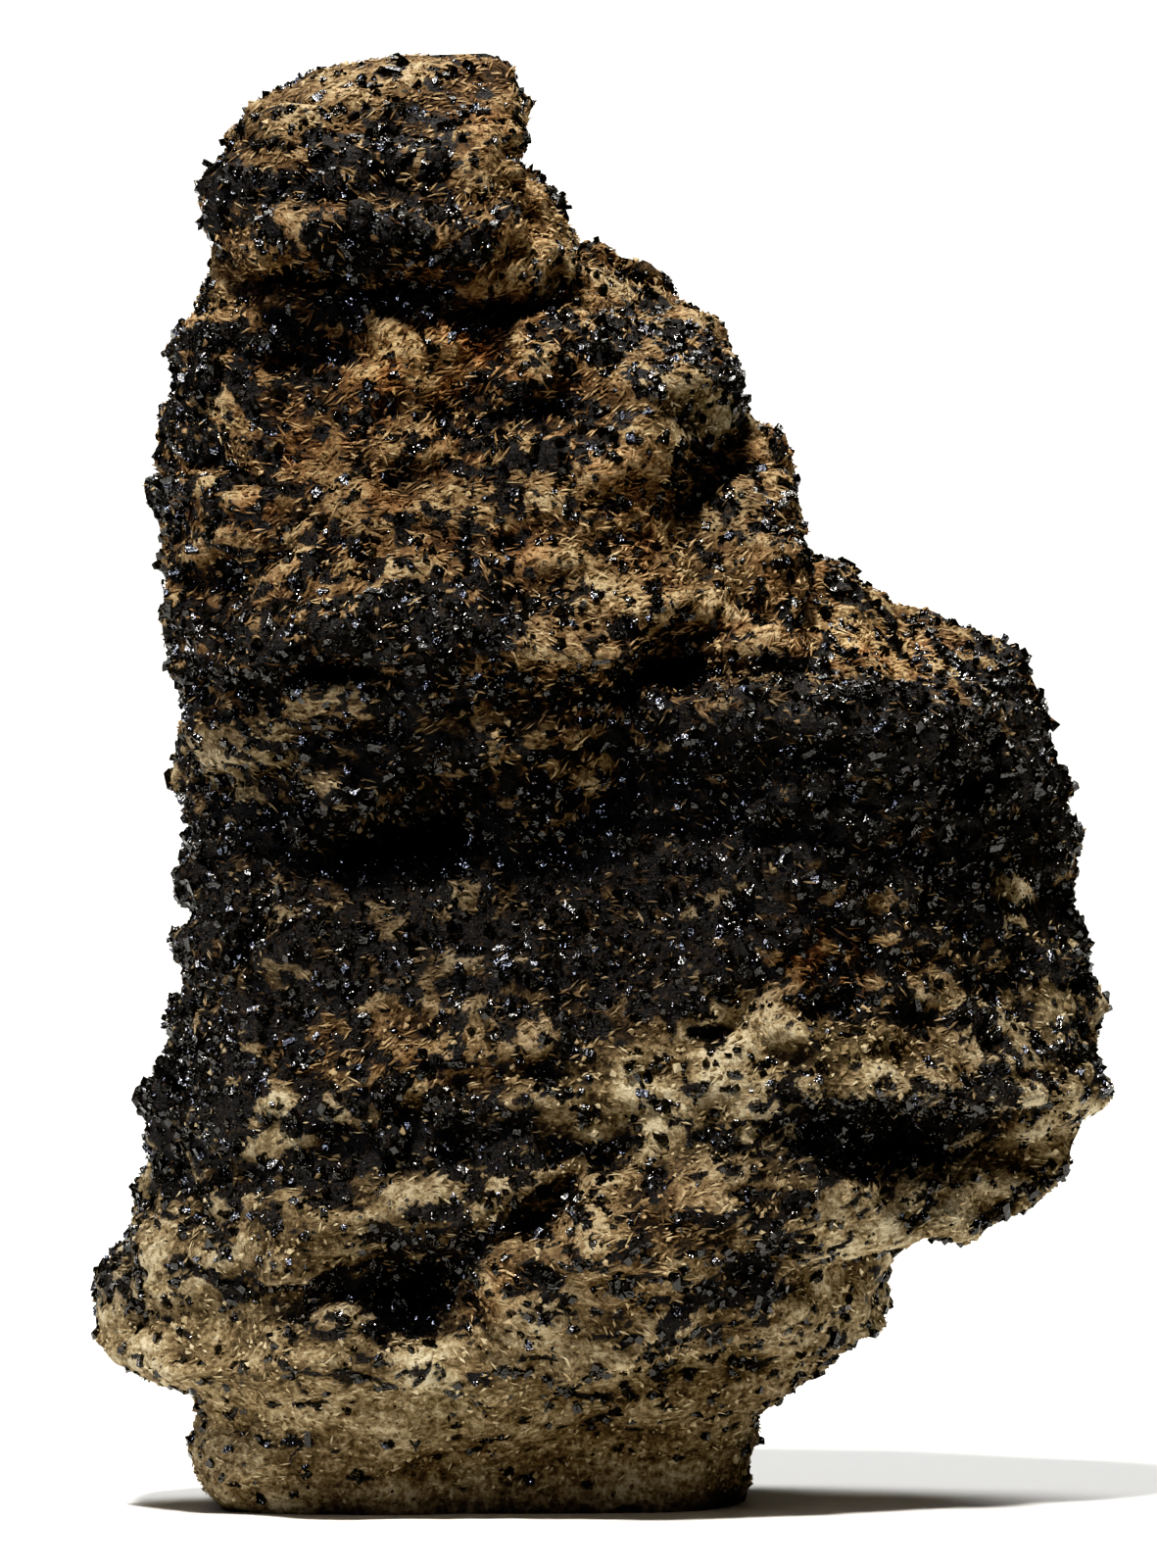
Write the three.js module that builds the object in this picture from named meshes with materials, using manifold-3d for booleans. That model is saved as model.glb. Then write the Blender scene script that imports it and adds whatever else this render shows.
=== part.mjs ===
// A hand specimen of straczekite: an upright piece of banded, fibrous tan rock, with
// greenish-black straczekite grown through it in seams and as loose blocky grains.
// It is one natural piece, so it is one closed solid: the rock with its larger black
// crystals fused to it. Millimetres, +Z up, the broken base flat on z = 0.
// The face with the richest seams looks towards -Y, and +X is to its right.
import * as THREE from "three";
import { mergeVertices } from "three/addons/utils/BufferGeometryUtils.js";
import Module from "manifold-3d";

// Driving dimensions of the specimen, in millimetres.
const SIZE = { width: 31.4, depth: 21, height: 44.6 };
// The size and middle that the numbers below give it, which are brought to SIZE at the end.
const DRAWN = { width: 31.65, depth: 23.11, height: 44.6, middleX: 0.22, middleY: -0.53 };

// How finely the solid is faceted.
const SEGMENTS = 64;
const ROWS = 58;

// Left edge of the outline, seen from the front: [height, x], from the base up.
const LEFT_EDGE = [
  [0, -11.9], [0.7, -12.5], [1.4, -12.8], [2.1, -12.9], [3.1, -12.7], [3.6, -12.8],
  [4.1, -12.9], [4.4, -13.4], [4.6, -14.2], [4.9, -14.8], [5.7, -15.4], [7.2, -15.1],
  [7.7, -14.8], [7.9, -14.6], [9.0, -14.5], [9.9, -14.4], [11.2, -14.1], [12.7, -13.8],
  [13.1, -13.5], [13.8, -13.4], [15.0, -13.6], [15.2, -13.2], [16.0, -13.1],
  [17.5, -13.3], [19.0, -13.3], [19.5, -12.6], [20.1, -12.2], [21.4, -12.7],
  [22.8, -12.1], [24.2, -12.2], [25.9, -13.2], [27.4, -13.2], [28.4, -13.7],
  [29.4, -13.7], [30.6, -13.1], [31.7, -13.3], [32.5, -13.8], [34.5, -13.4],
  [35.8, -12.8], [36.6, -12.2], [37.4, -12.0], [38.0, -11.8], [38.7, -11.7],
  [40.0, -11.5], [41.1, -11.8], [41.8, -11.5], [42.4, -11.2], [43.1, -10.3],
  [43.5, -9.7], [44.0, -8.8], [44.3, -7.7], [44.5, -6.0], [44.6, -3.5],
];
// Right edge, in the same way.
const RIGHT_EDGE = [
  [0, 4.6], [1.8, 5.1], [2.4, 5.1], [3.1, 5.2], [3.7, 5.6], [4.6, 7.4], [5.5, 8.3],
  [6.3, 9.2], [7.0, 9.0], [8.4, 8.8], [9.1, 9.0], [9.7, 9.8], [10.0, 12.0], [10.3, 13.2],
  [10.6, 13.9], [11.1, 14.4], [11.9, 14.8], [12.6, 15.0], [13.3, 15.5], [14.1, 15.8],
  [15.0, 15.8], [15.9, 15.7], [17.4, 15.4], [19.0, 15.8], [20.4, 15.3], [22.0, 14.5],
  [22.5, 14.2], [23.2, 14.3], [24.0, 14.1], [24.9, 13.6], [25.3, 13.0], [25.6, 12.0],
  [25.9, 10.8], [26.2, 9.8], [26.6, 8.9], [27.1, 8.2], [27.7, 7.3], [28.4, 6.1],
  [29.2, 6.0], [31.0, 5.6], [31.9, 5.4], [32.5, 5.0], [33.3, 4.7], [34.0, 4.1],
  [35.0, 4.3], [35.4, 4.6], [35.9, 4.0], [36.2, 3.5], [36.7, 1.9], [37.0, 0.8],
  [37.4, -0.2], [38.2, -1.1], [39.0, -1.2], [39.8, -1.5], [40.4, -2.0], [41.1, -2.6],
  [42.9, -2.4], [43.5, -2.5], [44.1, -2.6], [44.5, -3.2], [44.6, -3.5],
];
// How far the front and the back stand from the plane of the outline: [height, depth].
const FRONT_DEPTH = [
  [0, 5.0], [1.5, 5.4], [3.2, 6.6], [4.2, 7.6], [6, 8.2], [8, 8.4], [11, 8.2],
  [14, 7.8], [17, 6.9], [19.4, 5.8], [20.6, 5.2], [22, 5.4], [24, 6.2], [25.4, 7.0],
  [26.2, 7.8], [27.5, 8.0], [30, 7.2], [33, 6.2], [36, 5.2], [37.2, 4.6],
  [37.8, 5.4], [39, 5.8], [41, 5.0], [42.6, 3.6], [43.8, 1.9], [44.3, 1.0], [44.6, 0],
];
const BACK_DEPTH = [
  [0, 5.8], [2, 6.6], [5, 7.4], [10, 8.2], [16, 8.8], [22, 9.0], [28, 8.4],
  [34, 7.4], [38, 6.4], [41, 5.2], [43, 3.6], [44.2, 1.7], [44.6, 0],
];
const TYPICAL_DEPTH = 8.5;
// The outline's plane swings back to the right, and leans back at the top.
const SWING = 0.14;
const LEAN = [[0, -0.3], [10, -0.2], [26, 0], [38, 0.9], [44.6, 2.0]];
const ROUNDING = 3.1; // exponent of the rounded-box cross-section
// The banding climbs by these for each millimetre to the right, and to the back.
const BAND_DIP = 0.05;
const BACK_DIP = 0.26;
const LEVEL_NEAR = { base: 9, top: 7 }; // heights over which the base and the top stay level

// Flat fracture faces that cut the rock off: a plane y = at + x * alongX + z * alongZ.
const BACK_FACES = [
  { at: 8.6, alongX: -0.14, alongZ: -0.01 },
  { at: 14.6, alongX: 0.8, alongZ: 0.04 },
  { at: 15.6, alongX: -0.66, alongZ: -0.12 },
  { at: 19.0, alongX: 0.1, alongZ: -0.36 },
  { at: 4.8, alongX: -0.12, alongZ: 0.62 },
];
const FRONT_FACES = [
  { at: -16.2, alongX: 1.0, alongZ: 0.08 },
  { at: -18.4, alongX: -1.0, alongZ: 0.02 },
];
const FACE_SOFTNESS = 0.45; // radius at the edges between fracture faces

// Ledges of the front, along a line from one [x, z] to another. Above an overhang the
// rock stands out by "out" and falls back over "reach"; below a shelf it does the same.
const LEDGES = [
  { name: "cap overhang", from: [-12.8, 37.6], to: [-1.4, 37.1], out: 1.8, reach: 3.0 },
  { name: "lip overhang", from: [-13.8, 25.4], to: [1.4, 26.0], out: 1.9, reach: 3.4 },
  { name: "brow over the pit", from: [-9.6, 21.9], to: [-3.4, 21.6], out: 0.8, reach: 2.2 },
  { name: "block undercut", from: [4.4, 13.0], to: [15.8, 12.2], out: 2.2, reach: 3.4 },
  { name: "left foot undercut", from: [-14.2, 4.1], to: [-1.4, 3.6], out: 1.5, reach: 2.6 },
  { name: "right foot undercut", from: [-2.6, 3.6], to: [9.6, 6.4], out: 1.9, reach: 2.6 },
  { name: "block shelf", from: [-0.4, 25.0], to: [13.4, 25.8], out: 2.4, reach: -8.5 },
  { name: "pale shelf", from: [4.4, 14.9], to: [9.9, 15.2], out: 0.9, reach: -1.9 },
  { name: "shoulder shelf", from: [-2.6, 36.9], to: [4.6, 36.4], out: 0.9, reach: -2.2 },
];
const LEDGE_EDGE = 1.0; // height over which a ledge comes out of the rock
const LEDGE_END = 0.16; // share of its length over which it dies out at each end
const RELIEF_FULL = { across: 0.85, depth: 5 }; // ledges and lumps fade where less is left
// Lumps and hollows of the front: centre [x, z], half sizes, turn in degrees, and height.
const OVAL_POWER = 1.15; // above 1, their tops are flatter and their rims steeper
const LUMPS = [
  { name: "pit", at: [-5.6, 20.6], half: [2.6, 1.1], turn: 4, out: -3.0 },
  { name: "right hollow", at: [3.2, 31.0], half: [1.9, 2.2], turn: -28, out: -2.9 },
  { name: "low hollow", at: [-5.7, 7.2], half: [2.4, 1.0], turn: 14, out: -2.7 },
  { name: "shadow under the block", at: [9.0, 11.2], half: [3.4, 1.0], turn: -3, out: -1.9 },
  { name: "crease left of the nodule", at: [-1.8, 9.4], half: [2.0, 0.7], turn: 24, out: -1.6 },
  { name: "nodule", at: [2.4, 8.0], half: [4.4, 2.6], turn: 6, out: 2.1 },
  { name: "small nodule", at: [-3.0, 6.6], half: [1.8, 1.9], turn: -8, out: 1.0 },
  { name: "left toe", at: [-14.0, 6.0], half: [2.2, 1.6], turn: 0, out: 1.2 },
  { name: "black shoulder", at: [-11.4, 11.8], half: [2.4, 3.0], turn: 8, out: 1.1 },
  { name: "spine", at: [0.8, 29.4], half: [1.6, 3.6], turn: -12, out: 0.9 },
  { name: "band left of the spine", at: [-8.6, 33.4], half: [3.6, 1.4], turn: 3, out: 0.7 },
  { name: "fibrous rib", at: [-1.4, 23.4], half: [1.5, 3.0], turn: -32, out: 1.2 },
  { name: "cap brow", at: [-7.2, 39.6], half: [3.6, 1.6], turn: 6, out: 0.9 },
  { name: "right knob", at: [2.8, 34.9], half: [1.7, 1.4], turn: 0, out: 1.2 },
  { name: "block corner", at: [11.6, 20.0], half: [2.4, 4.6], turn: 5, out: 0.8 },
];
// The same for the back, which the photograph hides: broken steps that follow the banding.
const BACK_LEDGES = [
  { name: "high step", from: [-13.6, 31.4], to: [4.6, 32.6], out: 1.3, reach: 4.6 },
  { name: "middle shelf", from: [-12.0, 21.6], to: [14.4, 23.0], out: 1.5, reach: -6.0 },
  { name: "low step", from: [-6.0, 9.4], to: [14.0, 11.4], out: 1.4, reach: 4.0 },
];
const BACK_LUMPS = [
  { name: "back hollow", at: [-6.0, 16.4], half: [4.0, 2.4], turn: 8, out: -1.5 },
  { name: "back rib", at: [5.0, 17.0], half: [2.2, 5.0], turn: -12, out: 1.0 },
  { name: "back toe", at: [-9.0, 5.0], half: [3.2, 2.2], turn: 0, out: 1.0 },
];
// Ledges and lumps wander, so that none is straight: by how much, over what length.
const WANDER = [
  { by: 1.1, along: 3.1, up: 2.3, slice: 3.5, seed: 97 },
  { by: 0.8, along: 2.7, up: 3.3, slice: 7.5, seed: 98 },
];

// Chipped facets of the break, large and small, that move the section in or out.
const CHIPS = [
  { name: "broad chips", size: [9, 9, 7], height: 2.0, seed: 53 },
  { name: "small chips", size: [3.6, 3.6, 2.4], height: 0.85, seed: 59 },
];
// Three near-square axes that turn the chips' creases away from the main directions.
const CHIP_AXES = [[0.8, 0.5, -0.33], [-0.5, 0.86, 0.1], [0.33, 0.09, 0.94]];
// Rounded lenses that follow the banding, on top of the chips.
const LENSES = [
  { name: "lenses", size: [5, 5, 1.6], height: 0.35, seed: 23 },
  { name: "slivers", size: [2.4, 2.4, 0.9], height: 0.25, seed: 37 },
];
const EDGE_CALM = 0.72; // share of the chips' height that the drawn outline does without
const EDGE_WIDTH = 0.5; // half width of that calm strip, as a share of the half depth
const BASE_CALM = { height: 2.4, least: 0.55 }; // the chips grow from the base up
const TOP_CALM = 3; // height below the top over which they fade
const FLAT_BELOW = 0.02; // nothing but the base itself comes lower than this
const BASE_CENTRE = [-3.4, 0]; // where the triangles of the flat base meet
const STEP_WEIGHT = 0.6; // how much the rows of the mesh crowd where the shape changes

// Seams and patches rich in straczekite, seen from the front: centre, half sizes, turn.
const SEAMS = [
  { name: "cap", at: [-7.6, 40.2], half: [4.6, 2.4], turn: 8 },
  { name: "cap overhang", at: [-6.2, 37.9], half: [5.4, 1.0], turn: 0 },
  { name: "upper band", at: [-10.4, 34.9], half: [3.8, 1.6], turn: 4 },
  { name: "glitter patch", at: [0.0, 35.6], half: [2.4, 1.1], turn: -6 },
  { name: "right knob", at: [3.2, 34.8], half: [1.6, 0.8], turn: 0 },
  { name: "left band", at: [-11.6, 31.6], half: [2.6, 2.0], turn: 0 },
  { name: "hollow rim", at: [1.2, 32.2], half: [2.4, 1.6], turn: -20 },
  { name: "lip band", at: [-8.4, 27.0], half: [5.4, 1.0], turn: 2 },
  { name: "great block", at: [7.6, 20.8], half: [7.4, 4.6], turn: -2 },
  { name: "left flank", at: [-8.4, 18.6], half: [5.0, 3.2], turn: 0 },
  { name: "black shoulder", at: [-12.0, 12.6], half: [2.4, 3.0], turn: 6 },
  { name: "speckled belt", at: [-6.0, 12.2], half: [4.4, 1.6], turn: 0 },
  { name: "under the block", at: [9.0, 12.0], half: [5.0, 1.4], turn: -2 },
  { name: "nodule edge", at: [4.6, 8.0], half: [2.4, 1.8], turn: 20 },
];
// The larger black crystals: blunt five-sided prisms that stand out of the seams.
const CRYSTALS = {
  tries: 420,
  most: 48,
  sides: 5,
  radius: [0.45, 0.75],
  length: [1.0, 1.6],
  proud: 0.3,
  taper: 0.72,
  lean: 0.9, // how far each may lean away from straight out of the rock
  between: [2.5, 42.5], // lowest and highest
  richness: [0.35, 0.75], // how deep in a seam one has to be, at the easiest and hardest
  normalStep: [0.03, 0.3], // steps of turn and height that give the rock's own direction
};

const clamp01 = (t) => Math.min(1, Math.max(0, t));
const smooth = (t) => clamp01(t) ** 2 * (3 - 2 * clamp01(t));
const mix = (a, b, t) => a + (b - a) * t;

// Straight-line reading of a table of [place, value] pairs.
function readTable(table, place) {
  const next = table.findIndex(([at]) => at >= place);
  if (next <= 0) return next === 0 ? table[0][1] : table.at(-1)[1];
  const [[a, from], [b, to]] = [table[next - 1], table[next]];
  return mix(from, to, (place - a) / (b - a));
}

// One number from 0 to 1 for each cell of a grid, the same on every run.
function cellNumber(i, j, k, seed) {
  let h = Math.imul(i, 0x27d4eb2d) ^ Math.imul(j, 0x165667b1);
  h ^= Math.imul(k, 0x9e3779b1) ^ Math.imul(seed, 0x85ebca6b);
  h = Math.imul(h ^ (h >>> 15), 0x2c1b3c6d);
  h = Math.imul(h ^ (h >>> 12), 0x297a2d39);
  return ((h ^ (h >>> 15)) >>> 0) / 2 ** 32;
}

// Smooth noise from -1 to 1: the cell numbers blended between the corners of a cell.
function noise(x, y, z, seed) {
  const [i, j, k] = [Math.floor(x), Math.floor(y), Math.floor(z)];
  const [u, v, w] = [smooth(x - i), smooth(y - j), smooth(z - k)];
  const along = (dj, dk) =>
    mix(cellNumber(i, j + dj, k + dk, seed), cellNumber(i + 1, j + dj, k + dk, seed), u);
  return 2 * mix(mix(along(0, 0), along(1, 0), v), mix(along(0, 1), along(1, 1), v), w) - 1;
}

// Chipped noise from -1 to 1: each cell is cut into tetrahedra, and each of them is flat.
function facets(x, y, z, seed) {
  const turned = CHIP_AXES.map(([ax, ay, az]) => ax * x + ay * y + az * z);
  const corner = turned.map(Math.floor);
  const share = turned.map((value, axis) => value - corner[axis]);
  const order = [0, 1, 2].sort((a, b) => share[b] - share[a]);
  let [value, left] = [0, 1];
  for (const axis of order) {
    value += cellNumber(...corner, seed) * (left - share[axis]);
    corner[axis] += 1;
    left = share[axis];
  }
  return 2 * (value + cellNumber(...corner, seed) * left) - 1;
}

// The sum of several layers of a noise at a point, measured along the banding.
function layered(kind, layers, x, y, z) {
  const level = z - BAND_DIP * x;
  return layers.reduce(
    (sum, { size, height, seed }) =>
      sum + height * kind(x / size[0], y / size[1], level / size[2], seed),
    0,
  );
}

// The smaller of two values, with a rounded corner where they meet.
function softMin(a, b, radius) {
  const overlap = clamp01(0.5 + (0.5 * (b - a)) / radius);
  return mix(b, a, overlap) - radius * overlap * (1 - overlap);
}

// What a ledge adds to the depth at (x, z).
function ledgeAt(ledge, x, z) {
  const [[x0, z0], [x1, z1]] = [ledge.from, ledge.to];
  const along = (x - x0) / (x1 - x0);
  const window = smooth(along / LEDGE_END) * smooth((1 - along) / LEDGE_END);
  const beyond = Math.sign(ledge.reach) * (z - mix(z0, z1, clamp01(along)));
  const rise = smooth(beyond / LEDGE_EDGE + 0.5);
  return ledge.out * window * rise * (1 - smooth(beyond / Math.abs(ledge.reach)));
}

// How far inside an oval (x, z) lies: 1 at its centre, falling away past its rim.
function insideOval(oval, x, z) {
  const turn = THREE.MathUtils.degToRad(oval.turn);
  const [dx, dz] = [x - oval.at[0], z - oval.at[1]];
  const a = (dx * Math.cos(turn) + dz * Math.sin(turn)) / oval.half[0];
  const b = (dz * Math.cos(turn) - dx * Math.sin(turn)) / oval.half[1];
  return Math.exp(-((a * a + b * b) ** OVAL_POWER));
}

// What all ledges and lumps of one side add to the depth at (x, z).
function reliefAt(ledges, lumps, x, z) {
  const [wx, wz] = WANDER.map(
    ({ by, along, up, slice, seed }) => by * noise(x / along, z / up, slice, seed),
  );
  return (
    ledges.reduce((sum, ledge) => sum + ledgeAt(ledge, x + wx, z + wz), 0) +
    lumps.reduce((sum, lump) => sum + lump.out * insideOval(lump, x + wx, z + wz), 0)
  );
}

// A point of the chipped body: turn is the angle round the section, from the right edge
// over the back to the left edge and along the front.
function bodyPoint(turn, height) {
  const [left, right] = [readTable(LEFT_EDGE, height), readTable(RIGHT_EDGE, height)];
  const [cos, sin] = [Math.cos(turn), Math.sin(turn)];
  const box = (Math.abs(cos) ** ROUNDING + Math.abs(sin) ** ROUNDING) ** (1 / ROUNDING);
  const [along, across] = [cos / box, sin / box];
  const side = across < 0 ? -1 : 1;
  const [faces, ledges, lumps, depths] = across < 0
    ? [FRONT_FACES, LEDGES, LUMPS, FRONT_DEPTH]
    : [BACK_FACES, BACK_LEDGES, BACK_LUMPS, BACK_DEPTH];

  // The banding climbs to the back, but the base and the top stay level.
  const open = smooth(height / LEVEL_NEAR.base) *
    smooth((DRAWN.height - height) / LEVEL_NEAR.top);
  const x = (left + right) / 2 + ((right - left) / 2) * along;
  const z = height + BACK_DIP * TYPICAL_DEPTH * across * open;
  const depth = readTable(depths, z);
  const plane = readTable(LEAN, height) + ((SWING * (right - left)) / 2) * along;
  let out = depth * Math.abs(across) + side * plane;
  for (const face of faces)
    out = softMin(out, side * (face.at + face.alongX * x + face.alongZ * z), FACE_SOFTNESS);
  const facing = smooth(Math.abs(across) / RELIEF_FULL.across) *
    Math.min(1, depth / RELIEF_FULL.depth);
  const y = side * (out + reliefAt(ledges, lumps, x, z) * facing);

  // The chips push the section straight out, and are calm along the drawn outline.
  const outX = Math.sign(along) * Math.abs(along) ** (ROUNDING - 1);
  const outY = Math.sign(across) * Math.abs(across) ** (ROUNDING - 1);
  const calm =
    (1 - EDGE_CALM * Math.exp(-((across / EDGE_WIDTH) ** 2))) *
    clamp01((DRAWN.height - height) / TOP_CALM) *
    mix(BASE_CALM.least, 1, smooth(height / BASE_CALM.height));
  const push = (layered(facets, CHIPS, x, y, z) * calm) / Math.hypot(outX, outY);
  return new THREE.Vector3(x + push * outX, y + push * outY, z);
}

// Row heights, closer together where the outline or the depth changes quickly.
function rowHeights(count) {
  const steps = 3000;
  const lengths = [0];
  const tables = [LEFT_EDGE, RIGHT_EDGE, FRONT_DEPTH, BACK_DEPTH];
  const at = (step) => (DRAWN.height * step) / steps;
  for (let s = 1; s <= steps; s++) {
    const changes = tables.map((t) => readTable(t, at(s)) - readTable(t, at(s - 1)));
    lengths.push(lengths[s - 1] + Math.hypot(at(1), ...changes.map((c) => STEP_WEIGHT * c)));
  }
  return Array.from({ length: count + 1 }, (_, row) => {
    const wanted = (lengths[steps] * row) / count;
    const s = Math.max(1, lengths.findIndex((l) => l >= wanted - 1e-9));
    const share = (wanted - lengths[s - 1]) / (lengths[s] - lengths[s - 1]);
    return row === count ? DRAWN.height : at(s - 1 + clamp01(share));
  });
}

// The lenses at a point, pushed out along the surface's normal.
function withLenses(point, normal) {
  const amount =
    layered(noise, LENSES, point.x, point.y, point.z) *
    (1 - 0.5 * normal.x ** 2) *
    clamp01((DRAWN.height - point.z) / 2);
  const moved = point.clone().addScaledVector(normal, amount);
  moved.z = point.z <= 0 ? 0 : Math.max(moved.z, FLAT_BELOW);
  return moved;
}

// The rock: rings of points from the base to the top, closed by a flat base and a tip.
function rockGeometry() {
  const heights = rowHeights(ROWS);
  const rings = heights.slice(0, -1).map((height) =>
    Array.from({ length: SEGMENTS }, (_, s) => bodyPoint((2 * Math.PI * s) / SEGMENTS, height)),
  );
  const tip = bodyPoint(0, DRAWN.height);
  const around = (ring, s) => ring[(s + SEGMENTS) % SEGMENTS];
  const points = rings.flatMap((ring, r) =>
    ring.map((point, s) => {
      const sideways = around(ring, s + 1).clone().sub(around(ring, s - 1));
      const above = rings[r + 1] ? rings[r + 1][s] : tip;
      const upwards = above.clone().sub(rings[Math.max(0, r - 1)][s]);
      return withLenses(point, sideways.cross(upwards).normalize());
    }),
  );
  const base = new THREE.Vector3(...BASE_CENTRE, 0);
  const [baseIndex, tipIndex] = [points.length, points.length + 1];
  const index = [];
  for (let r = 0; r < rings.length; r++)
    for (let s = 0; s < SEGMENTS; s++) {
      const [a, b] = [r * SEGMENTS + s, r * SEGMENTS + ((s + 1) % SEGMENTS)];
      if (r === 0) index.push(baseIndex, b, a);
      if (r === rings.length - 1) index.push(a, b, tipIndex);
      else index.push(a, b, b + SEGMENTS, a, b + SEGMENTS, a + SEGMENTS);
    }
  const geometry = new THREE.BufferGeometry().setFromPoints([...points, base, tip]);
  geometry.setIndex(index);
  return geometry;
}

// A random number for crystal "id", the same on every run.
const pick = (id, what) => cellNumber(id, what, 5, 91);
const between = ([low, high], share) => mix(low, high, share);

// The larger crystals, as small tapered prisms placed where the seams are.
function crystalGeometries() {
  const { tries, most, sides, proud, taper, lean } = CRYSTALS;
  const made = [];
  for (let id = 0; id < tries && made.length < most; id++) {
    const turn = 2 * Math.PI * pick(id, 0);
    const height = between(CRYSTALS.between, pick(id, 1));
    const at = bodyPoint(turn, height);
    const richness = SEAMS.reduce((most, seam) => Math.max(most, insideOval(seam, at.x, at.z)), 0);
    if (richness < between(CRYSTALS.richness, pick(id, 2))) continue;
    const [dt, dh] = CRYSTALS.normalStep;
    const sideways = bodyPoint(turn + dt, height).sub(bodyPoint(turn - dt, height));
    const upwards = bodyPoint(turn, height + dh).sub(bodyPoint(turn, height - dh));
    const normal = sideways.cross(upwards).normalize();
    const radius = between(CRYSTALS.radius, pick(id, 3));
    const length = between(CRYSTALS.length, pick(id, 4));
    const prism = new THREE.CylinderGeometry(radius * taper, radius, length, sides, 1);
    const leaning = new THREE.Vector3(
      normal.x + lean * (pick(id, 5) - 0.5),
      normal.y + lean * (pick(id, 6) - 0.5),
      normal.z + lean * (pick(id, 7) - 0.5),
    ).normalize();
    const stand = new THREE.Quaternion().setFromUnitVectors(new THREE.Vector3(0, 1, 0), leaning);
    const seat = withLenses(at, normal).addScaledVector(leaning, proud - length / 2);
    prism.rotateY(Math.PI * pick(id, 8));
    prism.applyQuaternion(stand);
    prism.translate(seat.x, seat.y, seat.z);
    made.push(prism);
  }
  return made;
}

const wasm = await Module();
wasm.setup();

// A geometry as a solid that can be joined to others.
function solidOf(geometry) {
  const bare = geometry.clone();
  bare.deleteAttribute("normal");
  bare.deleteAttribute("uv");
  const merged = mergeVertices(bare, 1e-4);
  return new wasm.Manifold(new wasm.Mesh({
    numProp: 3,
    vertProperties: merged.attributes.position.array,
    triVerts: new Uint32Array(merged.index.array),
  }));
}

// A joined solid as a geometry again.
function geometryOf(solid) {
  const mesh = solid.getMesh();
  const geometry = new THREE.BufferGeometry();
  geometry.setAttribute("position", new THREE.BufferAttribute(mesh.vertProperties, 3));
  geometry.setIndex(new THREE.BufferAttribute(mesh.triVerts, 1));
  geometry.computeVertexNormals();
  return geometry;
}

function makeSpecimen() {
  const rock = crystalGeometries().map(solidOf)
    .reduce((whole, crystal) => whole.add(crystal), solidOf(rockGeometry()));
  const geometry = geometryOf(rock);
  geometry.translate(-DRAWN.middleX, -DRAWN.middleY, 0);
  geometry.scale(
    SIZE.width / DRAWN.width, SIZE.depth / DRAWN.depth, SIZE.height / DRAWN.height,
  );
  const stone = new THREE.MeshStandardMaterial({ color: 0x8a6f4e, roughness: 0.85, metalness: 0 });
  const specimen = new THREE.Mesh(geometry, stone);
  specimen.name = "straczekite_rock";
  return specimen;
}

const part = new THREE.Group();
part.add(makeSpecimen());

export default part;
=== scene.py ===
# %% [markdown]
# # A straczekite specimen
# Straczekite is a rare greenish-black mineral. Here it fills seams and sits as loose
# shiny grains in a piece of banded, fibrous tan rock about 45 mm high. The solid part
# gives the form, and this lesson gives the looks: a finely broken skin in place of the
# solid, tens of thousands of grains and fibres on it, and what each of them is made of.

# %% Load the solid and note its box
import math

import bpy
import numpy as np
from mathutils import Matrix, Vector


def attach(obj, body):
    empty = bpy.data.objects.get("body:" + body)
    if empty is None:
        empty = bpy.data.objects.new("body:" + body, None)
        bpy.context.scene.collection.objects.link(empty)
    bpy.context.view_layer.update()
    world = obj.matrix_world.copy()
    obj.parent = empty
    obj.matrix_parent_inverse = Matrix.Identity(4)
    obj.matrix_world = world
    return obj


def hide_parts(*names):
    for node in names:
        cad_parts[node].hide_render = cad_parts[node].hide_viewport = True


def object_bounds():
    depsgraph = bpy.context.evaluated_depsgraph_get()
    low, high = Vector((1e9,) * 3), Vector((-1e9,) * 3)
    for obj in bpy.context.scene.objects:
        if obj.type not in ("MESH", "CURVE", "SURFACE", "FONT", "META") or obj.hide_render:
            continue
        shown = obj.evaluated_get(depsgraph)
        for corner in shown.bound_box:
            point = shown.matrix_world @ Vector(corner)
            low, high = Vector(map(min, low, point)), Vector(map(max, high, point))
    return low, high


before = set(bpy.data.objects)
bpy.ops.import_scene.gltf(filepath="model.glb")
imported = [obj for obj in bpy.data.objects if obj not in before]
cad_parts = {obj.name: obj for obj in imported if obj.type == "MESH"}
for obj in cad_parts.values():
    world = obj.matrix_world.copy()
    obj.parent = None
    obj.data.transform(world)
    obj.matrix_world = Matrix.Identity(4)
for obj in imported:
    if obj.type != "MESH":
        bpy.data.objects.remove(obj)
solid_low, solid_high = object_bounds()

MM = 0.001  # metres in a millimetre
BODY = "root"  # nothing moves, so the piece is one body
ROCK_NODE = "straczekite_rock"
box_low = np.array(solid_low) / MM
box_high = np.array(solid_high) / MM
print("solid box in mm:", box_low.round(2), box_high.round(2))
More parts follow.
